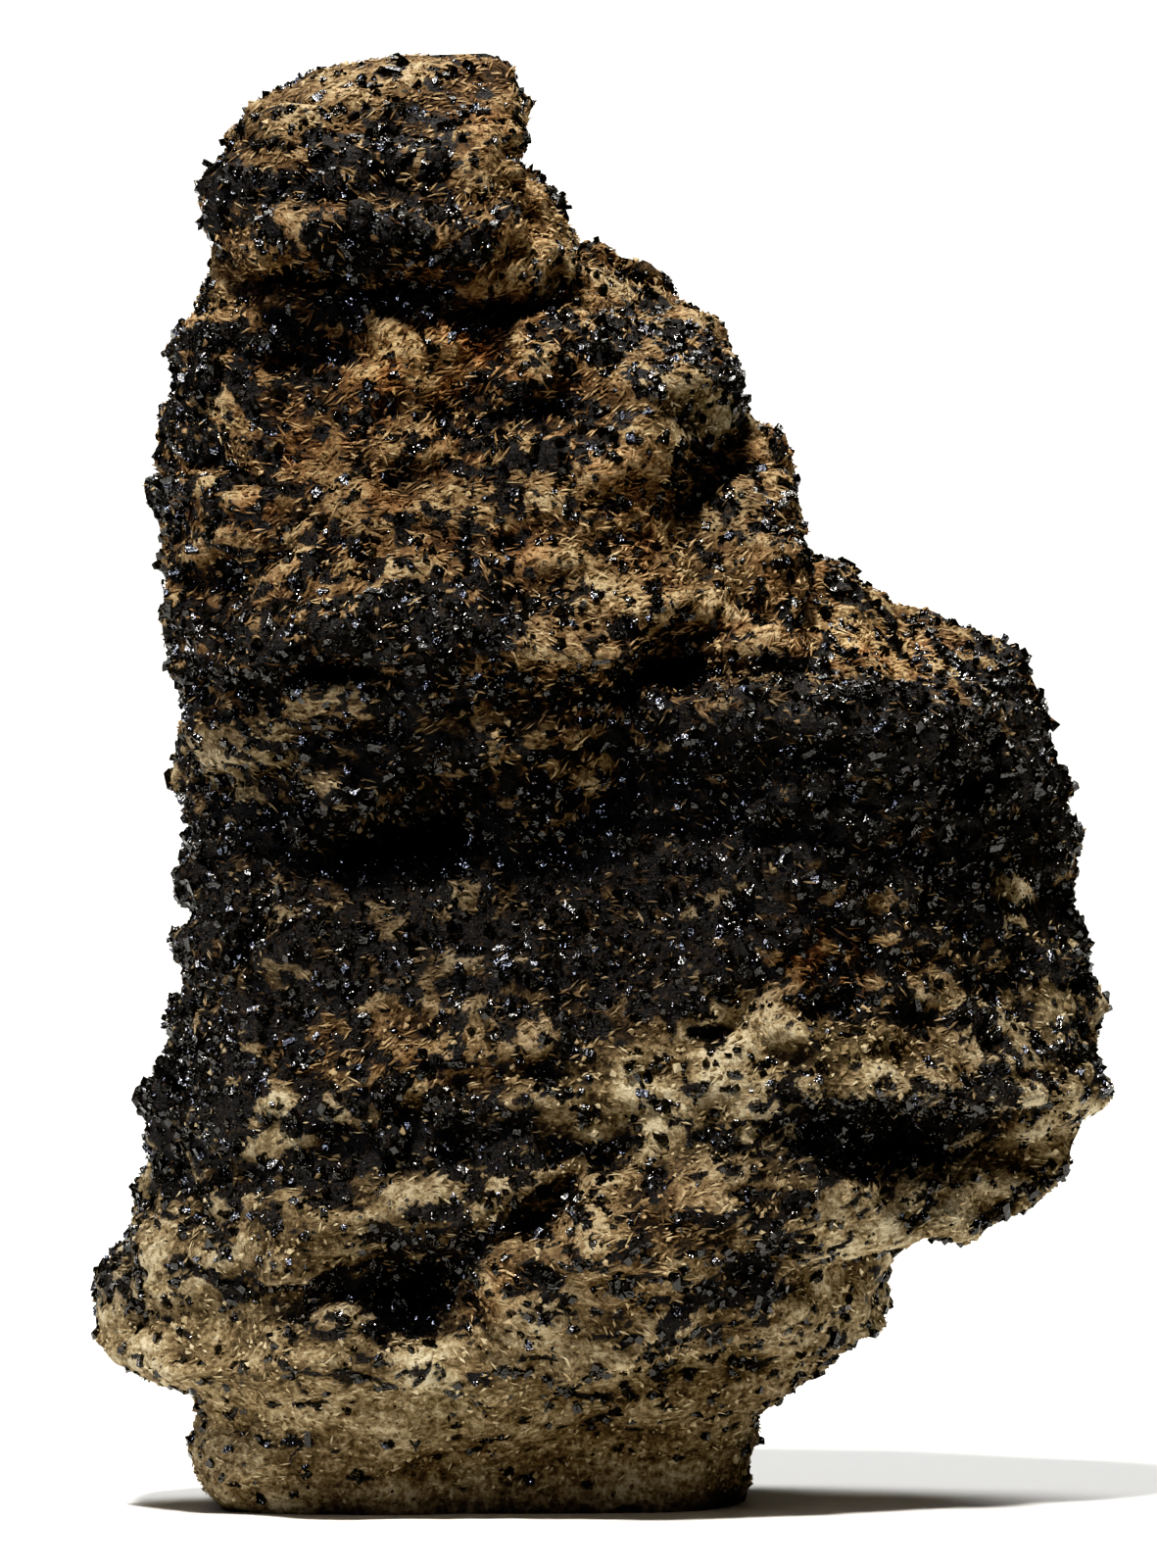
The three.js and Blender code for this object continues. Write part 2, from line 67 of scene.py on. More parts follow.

# %% [markdown]
# ## The form in numbers
# A broken rock has no formula of its own, so its outline is drawn: where its left and right
# edges stand at each height, how far its front and back stand out, and which ledges, lumps
# and hollows it has. These are the numbers of the solid part, repeated here so that the fine
# skin lies on the solid. They are in millimetres, [height, value].

# %% Size and outline
# Width, depth and height of the piece, and the size and middle that the numbers below
# give it, which are brought to SIZE at the end.
SIZE = np.array([31.4, 21.0, 44.6])
DRAWN_SIZE = np.array([31.65, 23.11, 44.6])
DRAWN_MIDDLE = np.array([0.22, -0.53, 0.0])
HEIGHT = 44.6
LEFT_EDGE = [
    [0, -11.9], [0.7, -12.5], [1.4, -12.8], [2.1, -12.9], [3.1, -12.7], [3.6, -12.8],
    [4.1, -12.9], [4.4, -13.4], [4.6, -14.2], [4.9, -14.8], [5.7, -15.4], [7.2, -15.1],
    [7.7, -14.8], [7.9, -14.6], [9.0, -14.5], [9.9, -14.4], [11.2, -14.1], [12.7, -13.8],
    [13.1, -13.5], [13.8, -13.4], [15.0, -13.6], [15.2, -13.2], [16.0, -13.1],
    [17.5, -13.3], [19.0, -13.3], [19.5, -12.6], [20.1, -12.2], [21.4, -12.7],
    [22.8, -12.1], [24.2, -12.2], [25.9, -13.2], [27.4, -13.2], [28.4, -13.7],
    [29.4, -13.7], [30.6, -13.1], [31.7, -13.3], [32.5, -13.8], [34.5, -13.4],
    [35.8, -12.8], [36.6, -12.2], [37.4, -12.0], [38.0, -11.8], [38.7, -11.7],
    [40.0, -11.5], [41.1, -11.8], [41.8, -11.5], [42.4, -11.2], [43.1, -10.3],
    [43.5, -9.7], [44.0, -8.8], [44.3, -7.7], [44.5, -6.0], [44.6, -3.5],
]
RIGHT_EDGE = [
    [0, 4.6], [1.8, 5.1], [2.4, 5.1], [3.1, 5.2], [3.7, 5.6], [4.6, 7.4], [5.5, 8.3],
    [6.3, 9.2], [7.0, 9.0], [8.4, 8.8], [9.1, 9.0], [9.7, 9.8], [10.0, 12.0],
    [10.3, 13.2], [10.6, 13.9], [11.1, 14.4], [11.9, 14.8], [12.6, 15.0], [13.3, 15.5],
    [14.1, 15.8], [15.0, 15.8], [15.9, 15.7], [17.4, 15.4], [19.0, 15.8], [20.4, 15.3],
    [22.0, 14.5], [22.5, 14.2], [23.2, 14.3], [24.0, 14.1], [24.9, 13.6], [25.3, 13.0],
    [25.6, 12.0], [25.9, 10.8], [26.2, 9.8], [26.6, 8.9], [27.1, 8.2], [27.7, 7.3],
    [28.4, 6.1], [29.2, 6.0], [31.0, 5.6], [31.9, 5.4], [32.5, 5.0], [33.3, 4.7],
    [34.0, 4.1], [35.0, 4.3], [35.4, 4.6], [35.9, 4.0], [36.2, 3.5], [36.7, 1.9],
    [37.0, 0.8], [37.4, -0.2], [38.2, -1.1], [39.0, -1.2], [39.8, -1.5], [40.4, -2.0],
    [41.1, -2.6], [42.9, -2.4], [43.5, -2.5], [44.1, -2.6], [44.5, -3.2], [44.6, -3.5],
]
print("outline points:", len(LEFT_EDGE) + len(RIGHT_EDGE))

# %% Depth, lean and dip
# How far the front and the back stand out from the plane of the outline.
FRONT_DEPTH = [
    [0, 5.0], [1.5, 5.4], [3.2, 6.6], [4.2, 7.6], [6, 8.2], [8, 8.4], [11, 8.2],
    [14, 7.8], [17, 6.9], [19.4, 5.8], [20.6, 5.2], [22, 5.4], [24, 6.2], [25.4, 7.0],
    [26.2, 7.8], [27.5, 8.0], [30, 7.2], [33, 6.2], [36, 5.2], [37.2, 4.6],
    [37.8, 5.4], [39, 5.8], [41, 5.0], [42.6, 3.6], [43.8, 1.9], [44.3, 1.0], [44.6, 0],
]
BACK_DEPTH = [
    [0, 5.8], [2, 6.6], [5, 7.4], [10, 8.2], [16, 8.8], [22, 9.0], [28, 8.4],
    [34, 7.4], [38, 6.4], [41, 5.2], [43, 3.6], [44.2, 1.7], [44.6, 0],
]
TYPICAL_DEPTH = 8.5
# The outline's plane swings back to the right, and leans back at the top.
SWING = 0.14
LEAN = [[0, -0.3], [10, -0.2], [26, 0], [38, 0.9], [44.6, 2.0]]
ROUNDING = 3.1  # power of the rounded-box section: 2 would be an ellipse
# The banding climbs by these for each millimetre to the right, and to the back.
BAND_DIP = 0.05
BACK_DIP = 0.26
LEVEL_NEAR_BASE, LEVEL_NEAR_TOP = 9, 7  # heights over which the two ends stay level
print("greatest depth in mm:", max(d for _, d in FRONT_DEPTH) + max(d for _, d in BACK_DEPTH))

# %% Fracture faces, ledges, lumps and hollows
# A face is (at, along x, along z); a ledge is (from, to, out, reach); an oval is
# (centre x, centre z, half width, half height, turn in degrees, out).
FRONT_FACES = [(-16.2, 1.0, 0.08), (-18.4, -1.0, 0.02)]
BACK_FACES = [
    (8.6, -0.14, -0.01), (14.6, 0.8, 0.04), (15.6, -0.66, -0.12),
    (19.0, 0.1, -0.36), (4.8, -0.12, 0.62),
]
FACE_SOFTNESS = 0.45  # radius at the edges between fracture faces
LEDGES = [
    ((-12.8, 37.6), (-1.4, 37.1), 1.8, 3.0),
    ((-13.8, 25.4), (1.4, 26.0), 1.9, 3.4),
    ((-9.6, 21.9), (-3.4, 21.6), 0.8, 2.2),
    ((4.4, 13.0), (15.8, 12.2), 2.2, 3.4),
    ((-14.2, 4.1), (-1.4, 3.6), 1.5, 2.6),
    ((-2.6, 3.6), (9.6, 6.4), 1.9, 2.6),
    ((-0.4, 25.0), (13.4, 25.8), 2.4, -8.5),
    ((4.4, 14.9), (9.9, 15.2), 0.9, -1.9),
    ((-2.6, 36.9), (4.6, 36.4), 0.9, -2.2),
]
LEDGE_EDGE = 0.8  # height over which a ledge comes out of the rock
LEDGE_END = 0.16  # share of its length over which it dies out at each end
RELIEF_FULL_ACROSS, RELIEF_FULL_DEPTH = 0.85, 5  # the relief fades where less is left
LUMPS = [
    (-5.6, 20.6, 2.6, 1.1, 4, -3.0),
    (3.2, 31.0, 1.9, 2.2, -28, -2.9),
    (-5.7, 7.2, 2.4, 1.0, 14, -2.7),
    (9.0, 11.2, 3.4, 1.0, -3, -1.9),
    (-1.8, 9.4, 2.0, 0.7, 24, -1.6),
    (2.4, 8.0, 4.4, 2.6, 6, 2.1),
    (-3.0, 6.6, 1.8, 1.9, -8, 1.0),
    (-14.0, 6.0, 2.2, 1.6, 0, 1.2),
    (-11.4, 11.8, 2.4, 3.0, 8, 1.1),
    (0.8, 29.4, 1.6, 3.6, -12, 0.9),
    (-8.6, 33.4, 3.6, 1.4, 3, 0.7),
    (-1.4, 23.4, 1.5, 3.0, -32, 1.2),
    (-7.2, 39.6, 3.6, 1.6, 6, 0.9),
    (2.8, 34.9, 1.7, 1.4, 0, 1.2),
    (11.6, 20.0, 2.4, 4.6, 5, 0.8),
]
BACK_LEDGES = [
    ((-13.6, 31.4), (4.6, 32.6), 1.3, 4.6),
    ((-12.0, 21.6), (14.4, 23.0), 1.5, -6.0),
    ((-6.0, 9.4), (14.0, 11.4), 1.4, 4.0),
]
BACK_LUMPS = [
    (-6.0, 16.4, 4.0, 2.4, 8, -1.5), (5.0, 17.0, 2.2, 5.0, -12, 1.0),
    (-9.0, 5.0, 3.2, 2.2, 0, 1.0),
]
OVAL_POWER = 1.15  # above 1, their tops are flatter and their rims steeper
# Ledges and lumps wander: by how much, over what length and height, noise slice, seed.
WANDER = [(1.1, 3.1, 2.3, 3.5, 97), (0.8, 2.7, 3.3, 7.5, 98)]
print("ledges:", len(LEDGES + BACK_LEDGES), "lumps and hollows:", len(LUMPS + BACK_LUMPS))

# %% Layers of roughness: size in mm, height in mm, seed
CHIPS = [((9, 9, 7), 2.0, 53), ((3.6, 3.6, 2.4), 0.85, 59)]
# Three near-square axes that turn the chips' creases away from the main directions.
CHIP_AXES = np.array([[0.8, 0.5, -0.33], [-0.5, 0.86, 0.1], [0.33, 0.09, 0.94]])
# Rounded lenses that follow the banding, on top of the chips.
LENSES = [((5, 5, 1.6), 0.35, 23), ((2.4, 2.4, 0.9), 0.25, 37)]
SIDE_CALM = 0.5  # share of their height that the left and right sides do without
EDGE_CALM = 0.72  # share of the chips' height that the drawn outline does without
EDGE_WIDTH = 0.5  # half width of that calm strip, as a share of the half depth
BASE_CALM_HEIGHT, BASE_CALM_LEAST = 2.4, 0.55  # the chips grow from the base up
TOP_CALM, LENS_TOP_CALM = 3, 2  # heights below the top over which chips and lenses fade
FLAT_BELOW = 0.02  # nothing but the base itself comes lower than this
BASE_CENTRE = (-3.4, 0)  # where the triangles of the flat base meet
STEP_WEIGHT = 0.6  # how much the rows of the mesh crowd where the shape changes
# The skin alone has these: broken slivers and crumbs too fine for the solid's facets.
SLIVERS = [((1.9, 1.9, 0.85), 0.34, 71), ((0.9, 0.9, 0.6), 0.30, 73)]
# The pale lower rock is smoother: its slivers are this low, up to the height given.
SMOOTHEST, ROUGH_FROM, ROUGH_OVER = 0.45, 2.0, 10.0
print("finest sliver in mm:", SLIVERS[-1][0])

# %% [markdown]
# ## Noise that repeats on every run
# A number is worked out for each cell of a grid by mixing its three indices with
# multiplications, so no random state is kept. Blended smoothly, the numbers make rounded
# swells. Blended in straight lines inside tetrahedra, they make the flat chips and sharp
# creases of a broken stone, which is why both kinds are used.

# %% Numbers for the cells of a grid
def smooth(t):
    """3t^2 - 2t^3 with t held between 0 and 1."""
    t = np.clip(t, 0, 1)
    return t * t * (3 - 2 * t)


def read_table(table, place):
    """Straight-line reading of [place, value] pairs."""
    places, values = np.array(table).T
    return np.interp(place, places, values)


def cell_number(i, j, k, seed):
    """A number from 0 to 1 for each cell: its indices times large odd numbers, mixed."""
    i, j, k = (np.asarray(a, dtype=np.int64).astype(np.uint32) for a in (i, j, k))
    turned_seed = np.uint32((seed * 0x85EBCA6B) & 0xFFFFFFFF)
    h = (i * np.uint32(0x27D4EB2D)) ^ (j * np.uint32(0x165667B1))
    h = h ^ (k * np.uint32(0x9E3779B1)) ^ turned_seed
    h = (h ^ (h >> 15)) * np.uint32(0x2C1B3C6D)
    h = (h ^ (h >> 12)) * np.uint32(0x297A2D39)
    return (h ^ (h >> 15)).astype(np.float64) / 2**32


print("one cell number:", cell_number(1, 2, 3, 4).round(4))


# %% Smooth noise and chipped noise
def noise(x, y, z, seed):
    """Cell numbers blended between the eight corners of a cell, from -1 to 1."""
    i, j, k = np.floor(x), np.floor(y), np.floor(z)
    u, v, w = smooth(x - i), smooth(y - j), smooth(z - k)

    def along(dj, dk):
        """From a corner to the next one along x."""
        start = cell_number(i, j + dj, k + dk, seed)
        return start + (cell_number(i + 1, j + dj, k + dk, seed) - start) * u

    low = along(0, 0) + (along(1, 0) - along(0, 0)) * v
    high = along(0, 1) + (along(1, 1) - along(0, 1)) * v
    return 2 * (low + (high - low) * w) - 1


def facets(x, y, z, seed):
    """Cell numbers blended along the three steps from a cell's low corner to its high
    corner, largest share first, so that each tetrahedron of the cell is flat."""
    turned = [ax * x + ay * y + az * z for ax, ay, az in CHIP_AXES]
    corner = [np.floor(t) for t in turned]
    share = np.stack([t - c for t, c in zip(turned, corner)])
    order = np.argsort(-share, axis=0, kind="stable")
    value, left = 0, 1
    for step in range(3):
        reached = np.take_along_axis(share, order[step : step + 1], 0)[0]
        value = value + cell_number(*corner, seed) * (left - reached)
        corner = [c + (order[step] == axis) for axis, c in enumerate(corner)]
        left = reached
    return 2 * (value + cell_number(*corner, seed) * left) - 1


def layered(kind, layers, x, y, z):
    """The sum of layers of one kind of noise, measured along the banding."""
    level = z - BAND_DIP * x
    return sum(
        height * kind(x / size[0], y / size[1], level / size[2], seed)
        for size, height, seed in layers
    )


one_place = np.array([[0.2], [0.7], [0.4]])
print("both noises at one place:", noise(*one_place, 7).round(3), facets(*one_place, 7).round(3))

# %% [markdown]
# ## The skin of the rock
# The rock is one closed surface with two parameters: the turn round its section, and the
# height. Each section is a rounded box between the drawn edges. Planes cut it off as a
# hammer would, ledges and lumps move it out or in, and chips and lenses roughen it.
# Sculpting by hand would look as good, but a formula can be read, changed and made finer.

# %% Relief: ledges, lumps and hollows
def soft_min(a, b, radius):
    """The smaller of two values, with a rounded corner where they meet."""
    overlap = np.clip(0.5 + 0.5 * (b - a) / radius, 0, 1)
    return b + (a - b) * overlap - radius * overlap * (1 - overlap)


def ledge_at(ledge, x, z):
    """Full height just past the ledge's line, then back to nothing over its reach."""
    (x0, z0), (x1, z1), out, reach = ledge
    along = (x - x0) / (x1 - x0)
    window = smooth(along / LEDGE_END) * smooth((1 - along) / LEDGE_END)
    beyond = np.sign(reach) * (z - (z0 + (z1 - z0) * np.clip(along, 0, 1)))
    rise = smooth(beyond / LEDGE_EDGE + 0.5)
    return out * window * rise * (1 - smooth(beyond / abs(reach)))


def inside_oval(centre_x, centre_z, half_x, half_z, turn, x, z):
    """A bell: 1 at the oval's centre and small past its rim."""
    angle = math.radians(turn)
    dx, dz = x - centre_x, z - centre_z
    a = (dx * math.cos(angle) + dz * math.sin(angle)) / half_x
    b = (dz * math.cos(angle) - dx * math.sin(angle)) / half_z
    return np.exp(-((a * a + b * b) ** OVAL_POWER))


def relief_at(ledges, lumps, x, z):
    """All ledges and lumps, looked up at a place that wanders so that none is straight."""
    wander_x, wander_z = (
        by * noise(x / along, z / up, np.full_like(x, slice_at), seed)
        for by, along, up, slice_at, seed in WANDER
    )
    x, z = x + wander_x, z + wander_z
    return sum(ledge_at(ledge, x, z) for ledge in ledges) + sum(
        lump[5] * inside_oval(*lump[:5], x, z) for lump in lumps
    )


print("relief under the cap in mm:", relief_at(LEDGES, LUMPS, *np.array([[-7.0], [38.0]])).round(2))


# %% Body: the chipped section at a turn and a height
def body_points(turn, height):
    """A rounded box |cos|^n + |sin|^n = 1 stretched between the drawn edges in x, and by
    the depth tables in y, cut by planes, with the relief in y and the chips outwards."""
    left, right = read_table(LEFT_EDGE, height), read_table(RIGHT_EDGE, height)
    cos, sin = np.cos(turn), np.sin(turn)
    box = (np.abs(cos) ** ROUNDING + np.abs(sin) ** ROUNDING) ** (1 / ROUNDING)
    along, across = cos / box, sin / box
    is_front = across < 0
    side = np.where(is_front, -1.0, 1.0)

    level = smooth(height / LEVEL_NEAR_BASE) * smooth((HEIGHT - height) / LEVEL_NEAR_TOP)
    x = (left + right) / 2 + (right - left) / 2 * along
    z = height + BACK_DIP * TYPICAL_DEPTH * across * level
    depth = np.where(is_front, read_table(FRONT_DEPTH, z), read_table(BACK_DEPTH, z))
    plane = read_table(LEAN, height) + SWING * (right - left) / 2 * along
    out = depth * np.abs(across) + side * plane
    front_out, back_out = out, out
    for at, along_x, along_z in FRONT_FACES:
        front_out = soft_min(front_out, -(at + along_x * x + along_z * z), FACE_SOFTNESS)
    for at, along_x, along_z in BACK_FACES:
        back_out = soft_min(back_out, at + along_x * x + along_z * z, FACE_SOFTNESS)
    facing = smooth(np.abs(across) / RELIEF_FULL_ACROSS)
    facing = facing * np.minimum(1, depth / RELIEF_FULL_DEPTH)
    front_out = front_out + relief_at(LEDGES, LUMPS, x, z) * facing
    back_out = back_out + relief_at(BACK_LEDGES, BACK_LUMPS, x, z) * facing
    y = side * np.where(is_front, front_out, back_out)

    out_x = np.sign(along) * np.abs(along) ** (ROUNDING - 1)
    out_y = np.sign(across) * np.abs(across) ** (ROUNDING - 1)
    calm = 1 - EDGE_CALM * np.exp(-((across / EDGE_WIDTH) ** 2))
    calm = calm * np.clip((HEIGHT - height) / TOP_CALM, 0, 1)
    rise = smooth(height / BASE_CALM_HEIGHT)
    calm = calm * (BASE_CALM_LEAST + (1 - BASE_CALM_LEAST) * rise)
    push = layered(facets, CHIPS, x, y, z) * calm / np.hypot(out_x, out_y)
    return np.stack([x + push * out_x, y + push * out_y, z], axis=-1)


print("a point of the body in mm:", body_points(np.array([0.0]), np.array([20.0])).round(2))


# %% Heights of the rows, directions and size
ROW_STEPS = 3000  # steps in which the tables are walked


def row_heights(count):
    """Heights spaced evenly along the drawn tables, so rows crowd where they turn."""
    fine = np.linspace(0, HEIGHT, ROW_STEPS + 1)
    steps = (fine[1] - fine[0]) ** 2
    for table in (LEFT_EDGE, RIGHT_EDGE, FRONT_DEPTH, BACK_DEPTH):
        steps = steps + (STEP_WEIGHT * np.diff(read_table(table, fine))) ** 2
    length = np.concatenate([[0], np.cumsum(np.sqrt(steps))])
    return np.interp(np.linspace(0, length[-1], count + 1), length, fine)


def unit(vectors):
    """Vectors of length 1 in the same directions."""
    return vectors / np.maximum(np.linalg.norm(vectors, axis=-1, keepdims=True), 1e-9)


def to_size(points):
    """From drawn millimetres to the part's own size and middle."""
    return (points - DRAWN_MIDDLE) * (SIZE / DRAWN_SIZE)


print("lowest rows in mm:", row_heights(5)[:3].round(1))


# %% Lenses and slivers along the surface's own direction
def grid_normals(grid, tip):
    """Outward directions on a grid of rings: across the ring, then up the rock."""
    sideways = np.roll(grid, -1, axis=1) - np.roll(grid, 1, axis=1)
    above = np.concatenate([grid[1:], np.broadcast_to(tip, grid[:1].shape)])
    below = np.concatenate([grid[:1], grid[:-1]])
    return unit(np.cross(sideways, above - below))


def with_lenses(points, normals, extra=()):
    """Points pushed out by the lenses, and by the extra layers where the skin has them."""
    x, y, z = np.moveaxis(points, -1, 0)
    amount = layered(noise, LENSES, x, y, z) * (1 - SIDE_CALM * normals[..., 0] ** 2)
    fine = layered(noise, extra, x, y, z) if extra else 0 * x
    fine = fine * (SMOOTHEST + (1 - SMOOTHEST) * smooth((z - ROUGH_FROM) / ROUGH_OVER))
    amount = (amount + fine) * np.clip((HEIGHT - z) / LENS_TOP_CALM, 0, 1)
    moved = points + normals * amount[..., None]
    moved[..., 2] = np.where(z <= 0, 0, np.maximum(moved[..., 2], FLAT_BELOW))
    return moved, fine


print("layers of lenses and slivers:", len(LENSES + SLIVERS))


# %% The skin's points, brought into the solid's box
SEGMENTS, ROWS = 380, 260  # places round a section, and sections up the rock
turns = np.linspace(0, 2 * np.pi, SEGMENTS, endpoint=False)
turn_grid, height_grid = np.meshgrid(turns, row_heights(ROWS)[:-1])
body_grid = body_points(turn_grid, height_grid)
tip_point = body_points(np.array([0.0]), np.array([HEIGHT]))[0]
skin_grid, sliver_height = with_lenses(body_grid, grid_normals(body_grid, tip_point), SLIVERS)
skin_points = np.concatenate(
    [skin_grid.reshape(-1, 3), [[*BASE_CENTRE, 0]], [tip_point]]
)
skin_points = to_size(skin_points)
ROOM_FOR_GRAINS = 0.12  # the skin keeps this off the sides of the solid's box
middle = (box_low + box_high) / 2
half_skin = (skin_points.max(0) - skin_points.min(0)) / 2
half_room = (box_high - box_low) / 2 - [ROOM_FOR_GRAINS, ROOM_FOR_GRAINS, 0]
skin_points[:, :2] = middle[:2] + (
    skin_points[:, :2] - ((skin_points.max(0) + skin_points.min(0)) / 2)[:2]
) * (half_room / half_skin)[:2]
print("skin in mm:", skin_points.min(0).round(2), skin_points.max(0).round(2))

# %% Triangles of the skin
def ring_triangles(segments, rings):
    """Two triangles for each patch between rings, and fans to the base and the tip."""
    ring, place = np.meshgrid(np.arange(rings - 1), np.arange(segments), indexing="ij")
    a = ring * segments + place
    b = ring * segments + (place + 1) % segments
    patches = [np.stack([a, b, b + segments], -1), np.stack([a, b + segments, a + segments], -1)]
    first = np.arange(segments)
    second = (first + 1) % segments
    base, tip = np.full(segments, rings * segments), np.full(segments, rings * segments + 1)
    last = (rings - 1) * segments
    fans = [np.stack([base, second, first], -1), np.stack([last + first, last + second, tip], -1)]
    return np.concatenate([t.reshape(-1, 3) for t in patches + fans])


skin_triangles = ring_triangles(SEGMENTS, ROWS)
print("triangles of the skin:", len(skin_triangles))


# %% Making a mesh object from arrays
def mesh_object(name, points_mm, triangles, shading, **attributes):
    """A mesh with its points in metres, one shading for all faces and named attributes."""
    mesh = bpy.data.meshes.new(name)
    mesh.vertices.add(len(points_mm))
    mesh.vertices.foreach_set("co", (points_mm * MM).astype(np.float32).ravel())
    mesh.loops.add(3 * len(triangles))
    mesh.loops.foreach_set("vertex_index", triangles.astype(np.int32).ravel())
    mesh.polygons.add(len(triangles))
    mesh.polygons.foreach_set("loop_start", np.arange(0, 3 * len(triangles), 3, dtype=np.int32))
    mesh.update(calc_edges=True)
    mesh.polygons.foreach_set("use_smooth", np.full(len(triangles), shading == "smooth"))
    for attribute, values in attributes.items():
        layer = mesh.attributes.new(attribute, "FLOAT", "POINT")
        layer.data.foreach_set("value", values.astype(np.float32).ravel())
    piece = bpy.data.objects.new(name, mesh)
    bpy.context.scene.collection.objects.link(piece)
    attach(piece, BODY)
    return piece


print("body of every piece:", BODY)
